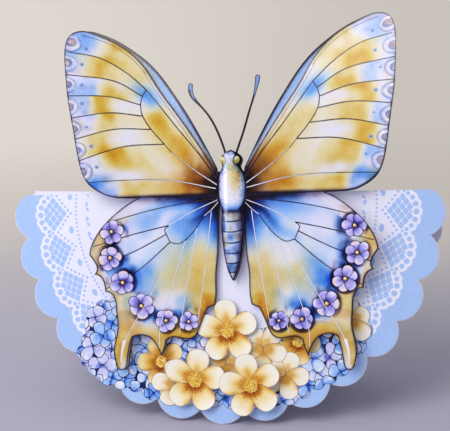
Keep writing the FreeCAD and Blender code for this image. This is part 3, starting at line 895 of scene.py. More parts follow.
def butterfly_lines(inks):
    """Veins, borders and spots of both halves of the butterfly."""
    pale = (*inks.print_white, 0.95)
    rng = np.random.default_rng(LINE_SEED)
    shapes = []
    for side in (1.0, -1.0):
        flip = np.array((side, 1.0))

        def line(points, pen, colour):
            shapes.append((ribbon(smooth_path(points) * flip, *pen), colour))

        for place, high, tilt in half_moons():
            shapes += half_moon_shapes(place, high, tilt, side, inks, rng)
        line(UPPER_STEM, STEM_PEN, vein_ink)
        for points in UPPER_VEINS:
            line(points, UPPER_VEIN_PEN, vein_ink)
        line(UPPER_CELL_END, UPPER_CELL_PEN, vein_ink)
        for points in UPPER_PALE_VEINS:
            line(points, PALE_VEIN_PEN, vein_ink)
            line(points[:3], PALE_VEIN_LIGHT_PEN, pale)
        for points in LOWER_VEINS:
            line(points, LOWER_VEIN_PEN, vein_ink)
        for points in LOWER_CELL:
            line(points, LOWER_CELL_PEN, vein_ink)
        for x, y, size in EYESPOTS:
            shapes += eyespot(np.array((x * side, y)), size, rng)
        for points in LOWER_PALE_VEINS + LOWER_PALE_STEMS:
            line(points, TAIL_VEIN_PEN, (*inks.line_ink, 0.34))
            line(points, TAIL_VEIN_LIGHT_PEN, pale)
        # Painted highlight down the tail.
        line(TAIL_PAINTED_HIGHLIGHT, TAIL_HIGHLIGHT_PEN, pale)
        line(WING_GAP, WING_GAP_PEN, (*inks.line_ink, 0.92))
        line(COSTA[4:] + (0.4, -2.0), COSTA_PEN, (*inks.line_ink, 0.75))
        line(COSTA[:5] + (1.5, -1.1), COSTA_PEN[::-1], (*inks.line_ink, 0.6))
    return shapes


# Colours of an eyespot's lobes, from the base of a lobe to its tip.
VIOLET_LOBES = (
    ("#17123E", "#4C45A8", "#8D88DA", "#AFA9EC", "#CCC6F6", "#E0DAF8"),
    ("#1D1748", "#6C63BE", "#A9A3E6", "#C6C0F4", "#E2D6EE", "#EBCFC0"),
    ("#120E34", "#3A3698", "#6F6AC8", "#9892E2", "#B5AFF0", "#CBC5F6"),
)
EYESPOT_DARK = ink("#17143A", 0.9)
LOBE_ORDER = (0, 2, 4, 1, 3, 5)


def violet_fill(colours, seed):
    """Paint of an eyespot's lobe: dark at its base and sides, pale at its tip."""
    def fill(points, length, width):
        x, y = points.T
        mottle = 0.45 * (cloud(points, 1.4, seed) - 0.5)
        return shaded(points, colours, 1.05 * y / length + mottle - 0.3 * (x / width * 2) ** 4)
    return fill


def eyespot(place, size, rng):
    """A small rosette of six rounded lobes on a dark ground, with a bright middle."""
    shapes = [(ellipse(place, size * 0.84, size * 0.82, count=32), EYESPOT_DARK)]
    turn = rng.uniform(0, 60)
    for k in LOBE_ORDER:
        fill = violet_fill(VIOLET_LOBES[rng.integers(3)], int(rng.integers(900)))
        shapes += drawn_petal(place, turn + 60 * k + rng.uniform(-6, 6), size * rng.uniform(0.88, 1.04),
                              size * rng.uniform(0.84, 0.98), EYESPOT_DARK, rng.uniform(0.26, 0.42), fill,
                              count=18)
    glint = place + np.array((-0.03, 0.04)) * size
    return shapes + [
        (ellipse(place, size * 0.24, size * 0.22, count=18), EYESPOT_DARK),
        (ellipse(place, size * 0.13, size * 0.13, count=12), ink("#D9A85A")),
        (ellipse(glint, size * 0.07, size * 0.07, count=10), ink("#F8ECCB"))]


def vein_field(points, hub, veins):
    """Which space between veins each point lies in, counted from the lowest, seen from the wing's middle."""
    offset = points - hub
    reach = np.linalg.norm(offset, axis=1)
    angle = np.degrees(np.arctan2(offset[:, 1], offset[:, 0]))
    angle = np.where(angle < -170, angle + 360, angle)
    count = np.zeros(len(points), int)
    for vein in veins:
        path = smooth_path(vein) - hub
        along = np.linalg.norm(path, axis=1)
        turn = np.degrees(np.arctan2(path[:, 1], path[:, 0]))
        turn = np.where(turn < -170, turn + 360, turn)
        order = np.argsort(along)
        count += angle > np.interp(reach, along[order], turn[order])
    return count


def butterfly_washes(points, outline):
    """Amber, blue, rust, violet and dark washes over both wings, from the place on the right half."""
    x, y = np.abs(points[:, 0]), points[:, 1]
    half = np.column_stack([x, y])
    near = distance(points, outline, closed=True)
    clouds = [cloud(points, size, seed) for seed, size in enumerate((13.0, 5.0, 8.0, 2.4), start=1)]
    above = ramp(y, WING_EDGE - WING_BLEND, WING_EDGE)
    mix = [low * (1 - above) + up * above
           for low, up in zip(lower_washes(half, *clouds), upper_washes(half, *clouds))]
    mix[1] = mix[1] * (1 - 0.92 * np.clip(1.7 * mix[0], 0, 1))
    # Painted shade on the wings under the raised body and close beside it.
    shade_under_body = np.exp(-(x / 7.0) ** 6) * (y < 16) * ramp(y, -15, -8)
    mix[4] = mix[4] + 0.8 * fade(near, 0.4) + 0.2 * np.exp(-near / 0.8) * clouds[1] + 1.6 * shade_under_body
    return mix


def upper_washes(points, broad, fine, patchy, grit):
    """A golden band across the upper wing and gold in its cell, pale panes and a violet border."""
    x, y = points.T
    root = np.linalg.norm(points - UPPER_ROOT, axis=1)
    reach = root / (root + distance(points, UPPER_MARGIN))
    field = vein_field(points, UPPER_HUB, UPPER_VEINS)
    outside_cell = ramp(np.linalg.norm(points - UPPER_HUB, axis=1), *UPPER_CELL_REACH)
    across = reach + UPPER_STEPS[field] * outside_cell + 0.10 * (broad - 0.5) + 0.03 * (fine - 0.5)
    outer = band(across, *UPPER_OUTER_BAND)
    core = band(across, *UPPER_CORE_BAND)
    border = ramp(across, *UPPER_BORDER)
    gold = ramp(patchy + 0.3 * (fine - 0.5), 0.2, 0.8)
    panes = np.clip(stains(points, UPPER_PALE_PANES), 0, 1)
    amber = (0.04 + 0.14 * broad + 0.36 * outer * (0.5 + 0.6 * patchy) + 0.55 * core * (0.25 + 0.9 * gold)
             + 0.85 * stains(points, UPPER_CELL_GOLD) * (0.35 + 0.8 * gold)
             + 0.75 * blob(points, *UPPER_HIND_GOLD) * (0.45 + 0.65 * gold))
    amber = amber * (0.88 + 0.24 * fine) * (1 - 0.96 * panes) * (1 - 0.95 * blob(points, *UPPER_CLEAR_SPOT))
    amber = amber * (1 - border * (0.3 + 0.7 * ramp(patchy, 0.1, 0.35)))
    blue = (0.24 * border * ramp(patchy, 0.35, 0.9) + stains(points, UPPER_BLUES)
            + 0.35 * blob(points, *UPPER_TIP_BLUE) * (0.4 + fine))
    rust = (0.9 * fade(root, 14) * (0.35 + fine) + 0.07 * core * ramp(fine, 0.6, 0.95)
            + stains(points, UPPER_RUSTS))
    violet = 0.03 + 0.34 * border * (0.2 + broad) + 0.12 * panes + 0.3 * fade(root, 13) * grit
    shade = (1.3 * fade(root, 6.4) * (0.75 + 0.5 * grit)
             + 0.15 * fade(root - 12, 4) * ramp(fine + 0.4 * grit, 0.55, 1.0)
             + 1.1 * fade(y - WING_EDGE, 0.9) * (1 - ramp(x, 20, 62)) + 0.05 * border * ramp(grit, 0.5, 0.9))
    return amber, blue, rust, violet, shade


def lower_washes(points, broad, fine, patchy, grit):
    """A blue core with rays in the lower wing, gold towards the body, and blue and violet round its spots."""
    x, y = points.T
    down = -y
    root = np.linalg.norm(points - LOWER_ROOT, axis=1)
    reach = root / (root + distance(points, LOWER_MARGIN))
    field = vein_field(points, LOWER_HUB, LOWER_PALE_VEINS + LOWER_VEINS)
    outside_cell = ramp(np.linalg.norm(points - LOWER_HUB, axis=1), *LOWER_CELL_REACH)
    across = reach + LOWER_STEPS[field] * outside_cell + 0.09 * (broad - 0.5)
    fan = np.arctan2(y - LOWER_ROOT[1], x - LOWER_ROOT[0])
    rays = 0.5 + 0.5 * np.sin(9 * fan + 5 * broad)
    core = fade(root, 14 + 7.5 * rays)
    ring = band(across, *LOWER_RING_BAND)
    border = ramp(across, *LOWER_BORDER)
    toward_body = 1 - ramp(x + 0.16 * y, 9, 20)
    inner = toward_body * band(down, 14, 30, 60, 90)
    patch = ramp(patchy + 0.25 * (fine - 0.5), 0.15, 0.85)
    gold = ramp(broad + 0.4 * (patchy - 0.5), 0.2, 0.8)
    halo = np.min([np.linalg.norm(points - (spot_x, spot_y), axis=1) - size
                   for spot_x, spot_y, size in EYESPOTS], axis=0)
    halo = np.maximum(halo, 0)
    blue = (1.5 * core * (0.75 + 0.5 * fine) + ring * patch * (0.16 + 0.8 * ramp(down, 34, 48))
            + 0.06 * ramp(broad, 0.4, 0.9) + 0.5 * blob(points, *LOWER_OUTER_BLUE) * (0.35 + patch)
            + 0.3 * blob(points, *LOWER_INNER_BLUE) * patch)
    blue = blue * (1 - 0.85 * toward_body * ramp(down, 18, 30))
    amber = (0.46 * inner * (0.35 + 0.8 * gold) + 0.36 * blob(points, *LOWER_GOLD) * (0.2 + gold)
             + 0.34 * ramp(down, 56, 64) * (0.5 + 0.5 * gold) * (1 - 0.45 * ramp(down, 70, 77)))
    amber = amber * (1 - fade(root, 22)) * (1 - 0.6 * np.clip(2.2 * blue, 0, 1))
    amber = amber + 0.42 * border * (0.45 + 0.55 * ramp(patchy, 0.25, 0.55)) * ramp(down, 9, 16)
    blue = blue * (1 - ramp(down, 54, 62)) * (1 - 0.8 * border) + 0.2 * border * ramp(patchy, 0.22, 0.08)
    blue = blue + 0.75 * fade(halo, 2.6) * ramp(fine, 0.3, 0.8) * (across < 0.88)
    rust = (stains(points, LOWER_RUSTS) + 0.2 * ramp(across, 0.95, 0.99) * ramp(fine, 0.4, 0.8)
            + 0.03 * border * ramp(broad, 0.3, 0.8) + 0.07 * inner * ramp(fine, 0.2, 0.8))
    violet = (0.02 + 0.14 * ramp(y, -26, -8) * (1 - core) + 0.14 * ring * broad * (1 - border)
              + 0.35 * fade(halo, 3.6) * (1 - border) * (0.4 + 0.6 * broad))
    shade = (1.3 * fade(root, 7.5) * (0.75 + 0.5 * grit)
             + 1.1 * fade(y - WING_EDGE, 2.2) * (1 - 0.85 * ramp(x, 18, 50)) * (0.7 + 0.5 * grit)
             + 0.55 * core * ramp(rays, 0.6, 1.0) * (1 - ramp(root, 8, 24))
             + 0.8 * fade(halo, 0.5) * ramp(patchy + 0.5 * fine, 0.35, 1.05)
             + 0.45 * fade(halo, 2.2) * ramp(grit + 0.6 * fine, 0.75, 1.3) * (1 - border))
    return amber, blue, rust, violet, shade


def base_washes(points, outline):
    """The lower layer's washes: the same wings, a pale blue front edge and dark feelers with blue clubs."""
    amber, blue, rust, violet, shade = butterfly_washes(points, outline)
    x, y = np.abs(points[:, 0]), points[:, 1]
    strip = fade(distance(np.column_stack([x, y]), COSTA + (-1.6, 1.2)), 2.0) * ramp(y, 6, 12)
    tip = ramp(x, 38, 48)
    outer = fade(distance(points, outline, closed=True), 0.75) * ramp(y, 14, 26) * (x < 66)
    amber = amber * (1 - strip) + 0.3 * strip * tip
    blue = blue * (1 - strip) + 0.34 * strip * (1 - 0.6 * tip)
    rust = rust * (1 - strip) + 0.2 * strip * tip + 0.4 * outer
    violet = violet * (1 - strip) + 0.12 * strip
    shade = shade * (1 - 0.8 * strip) + 0.15 * strip * tip + 1.1 * outer
    feeler = (y > FEELER_FOOT) & (x < 0.45 * (y - 16) + 4.5)
    club = feeler * ramp(y, *CLUB_START)
    on_feelers = (0, 0.35 + 0.03 * club, 0, 0.55 * (1 - club), 1.5 - 1.35 * club)
    return [np.where(feeler, own, wash)
            for own, wash in zip(on_feelers, (amber, blue, rust, violet, shade))]


# The body, about the same axis. An oval is its centre and two half widths.
BODY_RINGS = (-13.2, -17.9, -22.9, -27.6, -32.0, -36.0)
BODY_RING_PEN = (0.4, 0.9)
BODY_WAIST = (-9.6, -7.6)
BODY_MIDDLE = 0.4
THORAX = ((0, 1.6), 6.6, 10.6)
HEAD = ((0, 14.4), 2.6, 5.0)
CHEST_AMBER = ((2.2, 6.0), 2.4, 5.2)
NECK_AMBER = ((0.6, 11), 2, 2.4)
CHEST_RUST = ((4.0, 8), 1.2, 3.6)
WAIST_BLUE = ((0.5, -7.8), 4.5, 1.8)
WAIST_SHADE = ((0, -9.0), 6, 0.8)
EYE_PLACE = (3.25, 14.2)
EYE_TILT = 14
EYE_RIM = (1.75, 2.3)
EYE_GREEN = (1.25, 1.8)
EYE_GLINT = (0.3, 0.42)
EYE_COLOURS = ("#6F682B", "#9D9647", "#B9B36A", "#DBD7A4")


def eye_fill(height):
    """Green of an eye, paler towards its top."""
    return lambda points: shaded(points, EYE_COLOURS, 0.5 + (points[:, 1] - height) / 3.4)


def body_shapes(inks):
    """Rings of the abdomen and the two eyes."""
    shapes = []
    for y in BODY_RINGS:
        ring = smooth_path([(-7, y + 1.1), (-3, y - 0.1), (0, y - 0.45), (3, y - 0.1), (7, y + 1.1)], 0.5)
        shapes.append((ribbon(ring, *BODY_RING_PEN), (*inks.line_ink, 0.9)))
    for side in (-1, 1):
        x, y = EYE_PLACE[0] * side, EYE_PLACE[1]
        tilt = -EYE_TILT * side
        shapes.append((ellipse((x, y), *EYE_RIM, tilt, 24), (*inks.line_ink, 0.97)))
        shapes.append((ellipse((x, y), *EYE_GREEN, tilt, 22), eye_fill(y)))
        shapes.append((ellipse((x - 0.3, y + 0.7), *EYE_GLINT, count=10), ink("#F4F2DC", 0.9)))
    return shapes


def outside(points, centre, across, along):
    """How far points lie beyond an oval, as a share of its size; negative within it."""
    x, y = unplaced(points, centre).T
    return np.hypot(x / across, y / along) - 1


def body_washes(points, outline):
    """A furry thorax edged in blue and violet, with an amber stain, and a blue and violet tail."""
    x, y = points.T
    near = distance(points, outline, closed=True)
    tail = 1 - ramp(y, *BODY_WAIST)
    mottle, patches = cloud(points, 1.5, 11), cloud(points, 3.4, 12)
    flecks = ramp(cloud(points, 0.7, 14), 0.55, 0.95)
    thorax = outside(points, *THORAX)
    head = outside(points, *HEAD)
    amber = (0.42 * blob(points, *CHEST_AMBER) * (1 - tail) + 0.25 * blob(points, *NECK_AMBER)
             + 0.22 * tail * ramp(1 - patches, 0.55, 0.9))
    fur = 0.30 * ramp(thorax, -0.22, 0.0) * (head > -0.2) + 0.35 * flecks * ramp(thorax, -0.6, -0.1)
    blue = (tail * (0.10 + 0.55 * ramp(patches, 0.35, 0.75) * (1 - 0.6 * ramp(x, 0, 4)))
            + fur * (1 - tail) + 0.35 * blob(points, *WAIST_BLUE))
    rust = 0.34 * blob(points, *CHEST_RUST) + 0.10 * tail * ramp(patches, 0.4, 0.8)
    violet = 0.3 * tail + 0.7 * ramp(thorax, -0.4, 0) * mottle * (1 - tail) + 0.25 * flecks
    off_axis = np.abs(x - BODY_MIDDLE)
    side = off_axis / np.maximum(off_axis + near, 1e-6)
    crown = np.minimum(np.maximum(thorax, -1), np.maximum(head, -1)) * (1 - tail)
    # The tail darkens towards its edges, and more on its right side, away from the lamps; that extra darkness
    # on the right is painted shade.
    shade = (0.9 * fade(near, 0.5) + 0.35 * np.exp(-near / 0.8) * (0.5 + mottle)
             + tail * ((0.18 + 0.5 * (x > BODY_MIDDLE)) * side ** 2.5 + 0.25 * (mottle - 0.45))
             + 0.7 * blob(points, *WAIST_SHADE) + 1.3 * ramp(crown, 0.0, 0.14) * (1 - tail))
    return amber, blue, rust, violet, shade


# Materials.
def add(tree, kind, inputs=None, **settings):
    """Adds a node with its settings. An input is known by its name, or by its number where nodes have several
    of one name, and is a value or another node's socket."""
    node = tree.nodes.new("ShaderNode" + kind)
    for name, value in settings.items():
        setattr(node, name, value)
    for name, value in (inputs or {}).items():
        if isinstance(value, bpy.types.NodeSocket):
            tree.links.new(value, node.inputs[name])
        else:
            node.inputs[name].default_value = value
    return node


def noise(tree, place, size, detail, dimensions="3D", **inputs):
    """A random pattern with features of about the given size, in millimetres."""
    inputs = {"Vector": place, "Scale": 1 / (size * MM), "Detail": detail, **inputs}
    return add(tree, "TexNoise", inputs, noise_dimensions=dimensions).outputs["Fac"]


def spread(tree, value, start, end, low, high, shape="LINEAR"):
    """A value that goes from start to end, made to go from low to high and no further."""
    inputs = {"Value": value, "From Min": start, "From Max": end, "To Min": low, "To Max": high}
    return add(tree, "MapRange", inputs, interpolation_type=shape).outputs["Result"]


def blended(tree, share, below, above, blend="MIX"):
    """A colour laid over another by its share."""
    inputs = {"Factor": share, "A": below, "B": above}
    return add(tree, "Mix", inputs, data_type="RGBA", blend_type=blend).outputs["Result"]


def bumped(tree, height, strength, depth, **inputs):
    """The direction of a surface that a height makes uneven. The depth is in millimetres."""
    inputs = {"Height": height, "Strength": strength, "Distance": depth * MM, **inputs}
    return add(tree, "Bump", inputs).outputs["Normal"]


def coat(tree, colour, roughness, normal, index=1.5):
    """Ends the tree with an opaque surface. The index says how strongly its gloss mirrors the room."""
    surface = add(tree, "BsdfPrincipled", {"Base Color": colour, "Roughness": roughness, "IOR": index,
                                           "Normal": normal})
    add(tree, "OutputMaterial", {"Surface": surface.outputs["BSDF"]})


def new_material(name):
    """A new material, its tree, and the place on the object, which its patterns follow."""
    material = bpy.data.materials.new(name)
    material.use_nodes = True
    tree = material.node_tree
    tree.nodes.clear()
    return material, tree, add(tree, "TexCoord").outputs["Object"]


def light_through_washes(tree, place, inks):
    """The share of light that the washes let through; each film is laid a little unevenly."""
    washes = add(tree, "Attribute", attribute_name="washes")
    plates = add(tree, "SeparateColor", {"Color": washes.outputs["Color"]}).outputs
    shades = add(tree, "Attribute", attribute_name="shades").outputs["Fac"]
    strengths = (plates["Red"], plates["Green"], plates["Blue"], washes.outputs["Alpha"], shades)
    tints = (inks.amber_ink, inks.blue_ink, inks.rust_ink, inks.violet_ink, inks.shade_ink)
    absorbed = (0, 0, 0)
    for number, (strength, tint) in enumerate(zip(strengths, tints)):
        own = noise(tree, place, 3.6, 6.0, "4D", W=3.7 * number, Roughness=0.75)
        wobble = spread(tree, own, 0.3, 0.7, 0.70, 1.28)
        laid = add(tree, "Math", {0: strength, 1: wobble}, operation="MULTIPLY").outputs["Value"]
        absorbs = [-math.log(max(value, 0.002)) for value in tint]
        film = add(tree, "VectorMath", {0: absorbs, "Scale": laid}, operation="SCALE").outputs["Vector"]
        absorbed = add(tree, "VectorMath", {0: film, 1: absorbed}, operation="ADD").outputs["Vector"]
    # Each ink film lets through a share of the light that falls with its thickness.
    return add(tree, "VectorMath", {0: (math.exp(-1),) * 3, 1: absorbed}, operation="POWER").outputs["Vector"]


def glossy_print(name, inks, washed=False):
    """Inkjet photo paper: bright coated sheet, inks that pool and thin out, a soft sheen with faint waves."""
    material, tree, place = new_material(name)
    pools = noise(tree, place, 7, 3.0)
    bloom = noise(tree, place, 1.7, 5.0, Roughness=0.62)
    # Paper grain is finer than this; drawn as coarse as it needs to show.
    grain = noise(tree, place, 0.45, 2.0)
    colour = blended(tree, 0.10, (*inks.print_white, 1), bloom, "MULTIPLY")
    if washed:
        colour = blended(tree, 1.0, colour, light_through_washes(tree, place, inks), "MULTIPLY")
    line = add(tree, "Attribute", attribute_name="line_ink").outputs
    drawn = blended(tree, 0.16, line["Color"], bloom, "OVERLAY")
    colour = blended(tree, line["Alpha"], colour, drawn)
    colour = blended(tree, 0.16, colour, grain, "SOFT_LIGHT")
    swell = bumped(tree, noise(tree, place, 38, 1.0), 1.0, 0.5)
    tooth = bumped(tree, grain, 0.35, 0.008, Normal=swell)
    coat(tree, colour, spread(tree, pools, 0, 1, 0.15, 0.22), tooth)
    return material


def uncoated_paper(name, inks):
    """Back and cut edge of the printed sheets: matt white wood pulp with short fibres."""
    material, tree, place = new_material(name)
    stretched = add(tree, "Mapping", {"Vector": place, "Scale": (1.0, 1.0, 3.5),
                                      "Rotation": (0.3, 0.0, 0.5)}).outputs["Vector"]
    # Fibres are finer than this; drawn as coarse as they need to show.
    fibre = noise(tree, stretched, 0.8, 5.0, Distortion=0.8)
    tone = spread(tree, fibre, 0.3, 0.7, 0.90, 1)
    colour = blended(tree, 1.0, (*inks.card_white_and_shade, 1), tone, "MULTIPLY")
    coat(tree, colour, 0.82, bumped(tree, fibre, 0.4, 0.03))
    return material


def cardstock(name, inks):
    """Heavy white card, calendered: smooth and nearly matt, with a soft tooth and faint cloudy formation."""
    material, tree, place = new_material(name)
    clouds = noise(tree, place, 11, 3.0)
    # The tooth of calendered card is finer than this; drawn as coarse as it needs to show.
    tooth = noise(tree, place, 0.6, 3.0, Roughness=0.65)
    both = add(tree, "Math", {0: clouds, 1: tooth}, operation="MULTIPLY").outputs["Value"]
    tone = spread(tree, both, 0.1, 0.45, 0.965, 1)
    colour = blended(tree, 1.0, (*inks.card_white_and_shade, 1), tone, "MULTIPLY")
    coat(tree, colour, spread(tree, clouds, 0, 1, 0.55, 0.68), bumped(tree, tooth, 0.5, 0.03))
    return material


def foam(name, inks):
    """Closed-cell polyethylene foam, die cut: a soft white with the open cells of the cut showing as pits."""
    material, tree, place = new_material(name)
    cells = add(tree, "TexVoronoi", {"Vector": place, "Scale": 1 / (0.35 * MM)}).outputs["Distance"]
    # Painted shade: each cell of the foam is darker towards its middle, as a pit.
    tone = spread(tree, cells, 0.1, 0.7, 0.80, 1)
    colour = blended(tree, 1.0, (*inks.foam_white, 1), tone, "MULTIPLY")
    coat(tree, colour, 0.7, bumped(tree, cells, 0.6, 0.08), index=1.45)
    return material


def falloff(tree, place):
    """Brightness of the backdrop: a little less towards the side away from the lamps."""
    direction = add(tree, "VectorMath", {0: place}, operation="NORMALIZE").outputs["Vector"]
    across = add(tree, "SeparateXYZ", {"Vector": direction}).outputs["X"]
    return spread(tree, across, -0.45, 0.1, 1.02, 0.80, "SMOOTHSTEP")


def tabletop(name, stage):
    """Painted board, rolled: a pale matt floor, a little warmer towards the back."""
    material, tree, place = new_material(name)
    depth = add(tree, "SeparateXYZ", {"Vector": place}).outputs["Y"]
    share = spread(tree, depth, 0, 0.4, 0, 1, "SMOOTHSTEP")
    colour = blended(tree, share, (*stage.floor_front, 1), (*stage.floor_back, 1))
    colour = blended(tree, 0.05, colour, noise(tree, place, 20, 4.0), "SOFT_LIGHT")
    paint = add(tree, "BsdfPrincipled", {"Base Color": colour, "Roughness": 0.75})
    # Far behind the card the floor is seen at its own plain colour, as a backdrop, past the card's shadow.
    seen = add(tree, "LightPath").outputs["Is Camera Ray"]
    away = add(tree, "VectorMath", {0: place}, operation="LENGTH").outputs["Value"]
    far = spread(tree, away, 0.18, 0.8, 0, 1, "SMOOTHSTEP")
    plain = add(tree, "Math", {0: seen, 1: far}, operation="MULTIPLY").outputs["Value"]
    backdrop = add(tree, "Emission", {"Color": (*stage.floor_back, 1), "Strength": falloff(tree, place)})
    mixed = add(tree, "MixShader", {"Fac": plain, 1: paint.outputs["BSDF"], 2: backdrop.outputs["Emission"]})
    add(tree, "OutputMaterial", {"Surface": mixed.outputs["Shader"]})
    return material


# Settings that a user would change.
def length_property(label, text, millimetres, least):
    return FloatProperty(name=label, description=text, subtype="DISTANCE", unit="LENGTH",
                         default=millimetres * MM, min=least * MM)


def colour_property(label, text, hex_colour):
    return FloatVectorProperty(name=label, description=text, subtype="COLOR", size=3, min=0.0, max=1.0,
                               default=linear(hex_colour))


class CardInks(bpy.types.PropertyGroup):
    """Colours of the papers and of the printing inks."""
    print_white: colour_property("Print White", "Unprinted photo paper", "#E6E7FC")
    # Set greyer and bluer than the card's own white: partly painted shade, so that the fold strip above the
    # lace looks shaded.
    card_white_and_shade: colour_property("Card White", "Folded card and paper backs", "#DCDEF1")
    foam_white: colour_property("Foam White", "Foam pads", "#F1F0EC")
    lace_blue: colour_property("Lace Blue", "Ground of the lace", "#A6C4F6")
    line_ink: colour_property("Line Ink", "Veins, outlines and deep shade", "#130F2A")
    amber_ink: colour_property("Amber Ink", "Warm wash on the wings", "#E2AD26")
    blue_ink: colour_property("Blue Ink", "Blue wash on the wings", "#2470E8")
    rust_ink: colour_property("Rust Ink", "Burnt orange wash", "#B2440C")
    shade_ink: colour_property("Shade Ink", "Dark wash at wing roots and edges", "#231A3A")
    violet_ink: colour_property("Violet Ink", "Pale violet wash", "#9A98DC")


class CardDetail(bpy.types.PropertyGroup):
    """How finely the printed sheets are divided."""
    wing_step: length_property("Wing Step", "Spacing of points on the upper wings", 0.6, 0.2)
    base_step: length_property("Base Step", "Spacing of points on the layer under the wings", 0.9, 0.2)
    flower_step: length_property("Flower Step", "Spacing of points on flowers and spray", 0.5, 0.2)
    body_step: length_property("Body Step", "Spacing of points on the body", 0.35, 0.2)
    lace_step: length_property("Lace Step", "Spacing of points on plain parts of the lace", 4.0, 0.5)
    border_width: length_property("Border Width", "Ink line along the edge of the wings", 0.42, 0.0)


class CardStage(bpy.types.PropertyGroup):
    """Floor, lamps and camera."""
    floor_front: colour_property("Floor Front", "Floor in front of the card", "#AFADC0")
    floor_back: colour_property("Floor Back", "Floor behind the card", "#DED7CF")
    sky: FloatProperty(name="Sky", description="Strength of the even light from all round", default=0.57)
    key_power: FloatProperty(name="Key Power", description="Large lamp on the upper left", unit="POWER",
                             default=4.25)
    window_power: FloatProperty(name="Window Power", description="Low lamp whose sheen shows on the card",
                                unit="POWER", default=1.7)
    azimuth: FloatProperty(name="Azimuth", description="Camera's turn to the right", subtype="ANGLE",
                           default=math.radians(10.35))
    elevation: FloatProperty(name="Elevation", description="Camera's height above the level",
                             subtype="ANGLE", default=math.radians(14.81))
    roll: FloatProperty(name="Roll", description="Camera's roll", subtype="ANGLE",
                        default=math.radians(-2.13))
    distance: FloatProperty(name="Distance", description="Camera to card", unit="LENGTH", default=0.450)
    lens: FloatProperty(name="Lens", description="Focal length in millimetres", default=78.2)


INKED = {}


def papers(context):
    """The printed and plain papers that the sheets share, made once."""
    if not INKED:
        inks = context.scene.card_inks
        INKED["washed"] = glossy_print("watercolour_photo_paper", inks, washed=True)
        INKED["drawn"] = glossy_print("line_printed_photo_paper", inks)
        INKED["plain"] = uncoated_paper("uncoated_paper", inks)
    return INKED


# How far a sheet's printed side stands out from the panel at each point. Low and high are the least and the
# most that the CAD sheet's does.
def flat_lift(points, low, high):
    return np.full(len(points), high)


def wing_lift(points, low, high):
    over = np.maximum(np.abs(points[:, 0]) - WING_FLAT_HALF, 0)
    return low + WING_BEND_RADIUS - np.sqrt(WING_BEND_RADIUS ** 2 - over ** 2)


def body_lift(points, low, high):
    reach = BODY_RADIUS - BODY_CLEARANCE
    across = np.clip(points[:, 0] - BODY_SHIFT, -reach, reach)
    return high - BODY_RADIUS + np.sqrt(BODY_RADIUS ** 2 - across ** 2)


def flower_lift(points, low, high):
    reach = np.minimum(np.linalg.norm(points, axis=1), FLOWER_REACH)
    return low + FLOWER_CUP_RADIUS - np.sqrt(FLOWER_CUP_RADIUS ** 2 - reach ** 2)


class ROCKER_CARD_OT_card_blank(bpy.types.Operator):
    """Finish the folded card in white cardstock"""
    bl_idname = "rocker_card.card_blank"
    bl_label = "Card Blank"

    def execute(self, context):
        stock = cardstock("white_cardstock", context.scene.card_inks)
        for slot in frame["nodes"]["card_blank"].material_slots:
            slot.material = stock
        return {"FINISHED"}


class ROCKER_CARD_OT_foam_pads(bpy.types.Operator):
    """Finish the foam pads between the layers"""
    bl_idname = "rocker_card.foam_pads"
    bl_label = "Foam Pads"

    def execute(self, context):
        soft = foam("die_cut_foam", context.scene.card_inks)
        for name, node in frame["nodes"].items():
            if SLOTS[name] == "foam_pad":
                for slot in node.material_slots:
                    slot.material = soft
        return {"FINISHED"}


class ROCKER_CARD_OT_lace_sheet(bpy.types.Operator):
    """Print the scalloped lace sheet on the front panel"""
    bl_idname = "rocker_card.lace_sheet"
    bl_label = "Lace Sheet"

    def execute(self, context):
        scene = context.scene
        sheet = Sheet("lace_sheet", "lace_front", lace_shapes(scene.card_inks),
                      scene.card_detail.lace_step / MM, flat_lift, DISC_CENTRE, DISC_TURN)
        sheet.finish(context, "drawn")
        return {"FINISHED"}


class ROCKER_CARD_OT_flower_spray(bpy.types.Operator):
    """Print the spray of small blue flowers"""
    bl_idname = "rocker_card.flower_spray"
    bl_label = "Flower Spray"

    def execute(self, context):
        sheet = Sheet("spray_sheet", "flower_spray", spray_shapes(),
                      context.scene.card_detail.flower_step / MM, flat_lift, border=SPRAY_BORDER)
        sheet.finish(context, "drawn")
        return {"FINISHED"}


class ROCKER_CARD_OT_butterfly_layers(bpy.types.Operator):
    """Print the lower butterfly layer and the wings that bend forward over it"""
    bl_idname = "rocker_card.butterfly_layers"
    bl_label = "Butterfly Layers"

    def execute(self, context):
        scene = context.scene
        detail = scene.card_detail
        border = (detail.border_width / MM, (*scene.card_inks.line_ink, 0.85))
        lines = butterfly_lines(scene.card_inks)
        for name, node, step, lift, washes in (
                ("base_layer", "butterfly_base", detail.base_step, flat_lift, base_washes),
                ("wing_layer", "butterfly_wings", detail.wing_step, wing_lift, butterfly_washes)):
            sheet = Sheet(name, node, lines, step / MM, lift, BUTTERFLY_PLACE, BUTTERFLY_TURN, border)
            sheet.print_washes(*washes(sheet.points, sheet.outline))
            sheet.finish(context, "washed")
        return {"FINISHED"}


class ROCKER_CARD_OT_butterfly_body(bpy.types.Operator):
    """Print the rounded body"""
    bl_idname = "rocker_card.butterfly_body"
    bl_label = "Butterfly Body"

    def execute(self, context):
        scene = context.scene
        sheet = Sheet("body_layer", "butterfly_body", body_shapes(scene.card_inks),
                      scene.card_detail.body_step / MM, body_lift, BUTTERFLY_PLACE, BUTTERFLY_TURN)
        sheet.print_washes(*body_washes(sheet.points, sheet.outline))
        sheet.finish(context, "washed")
        return {"FINISHED"}


class ROCKER_CARD_OT_cut_flowers(bpy.types.Operator):
    """Print the three raised flowers"""
    bl_idname = "rocker_card.cut_flowers"
    bl_label = "Cut Flowers"

    def execute(self, context):
        step = context.scene.card_detail.flower_step / MM
        for number, (node, (x, y, turn)) in enumerate(FLOWER_PLACES.items()):
            sheet = Sheet(node + "_layer", node, cut_flower_shapes(10 + 7 * number), step, flower_lift,
                          (x, y), turn, CUT_FLOWER_BORDER)
            sheet.finish(context, "drawn")
        return {"FINISHED"}


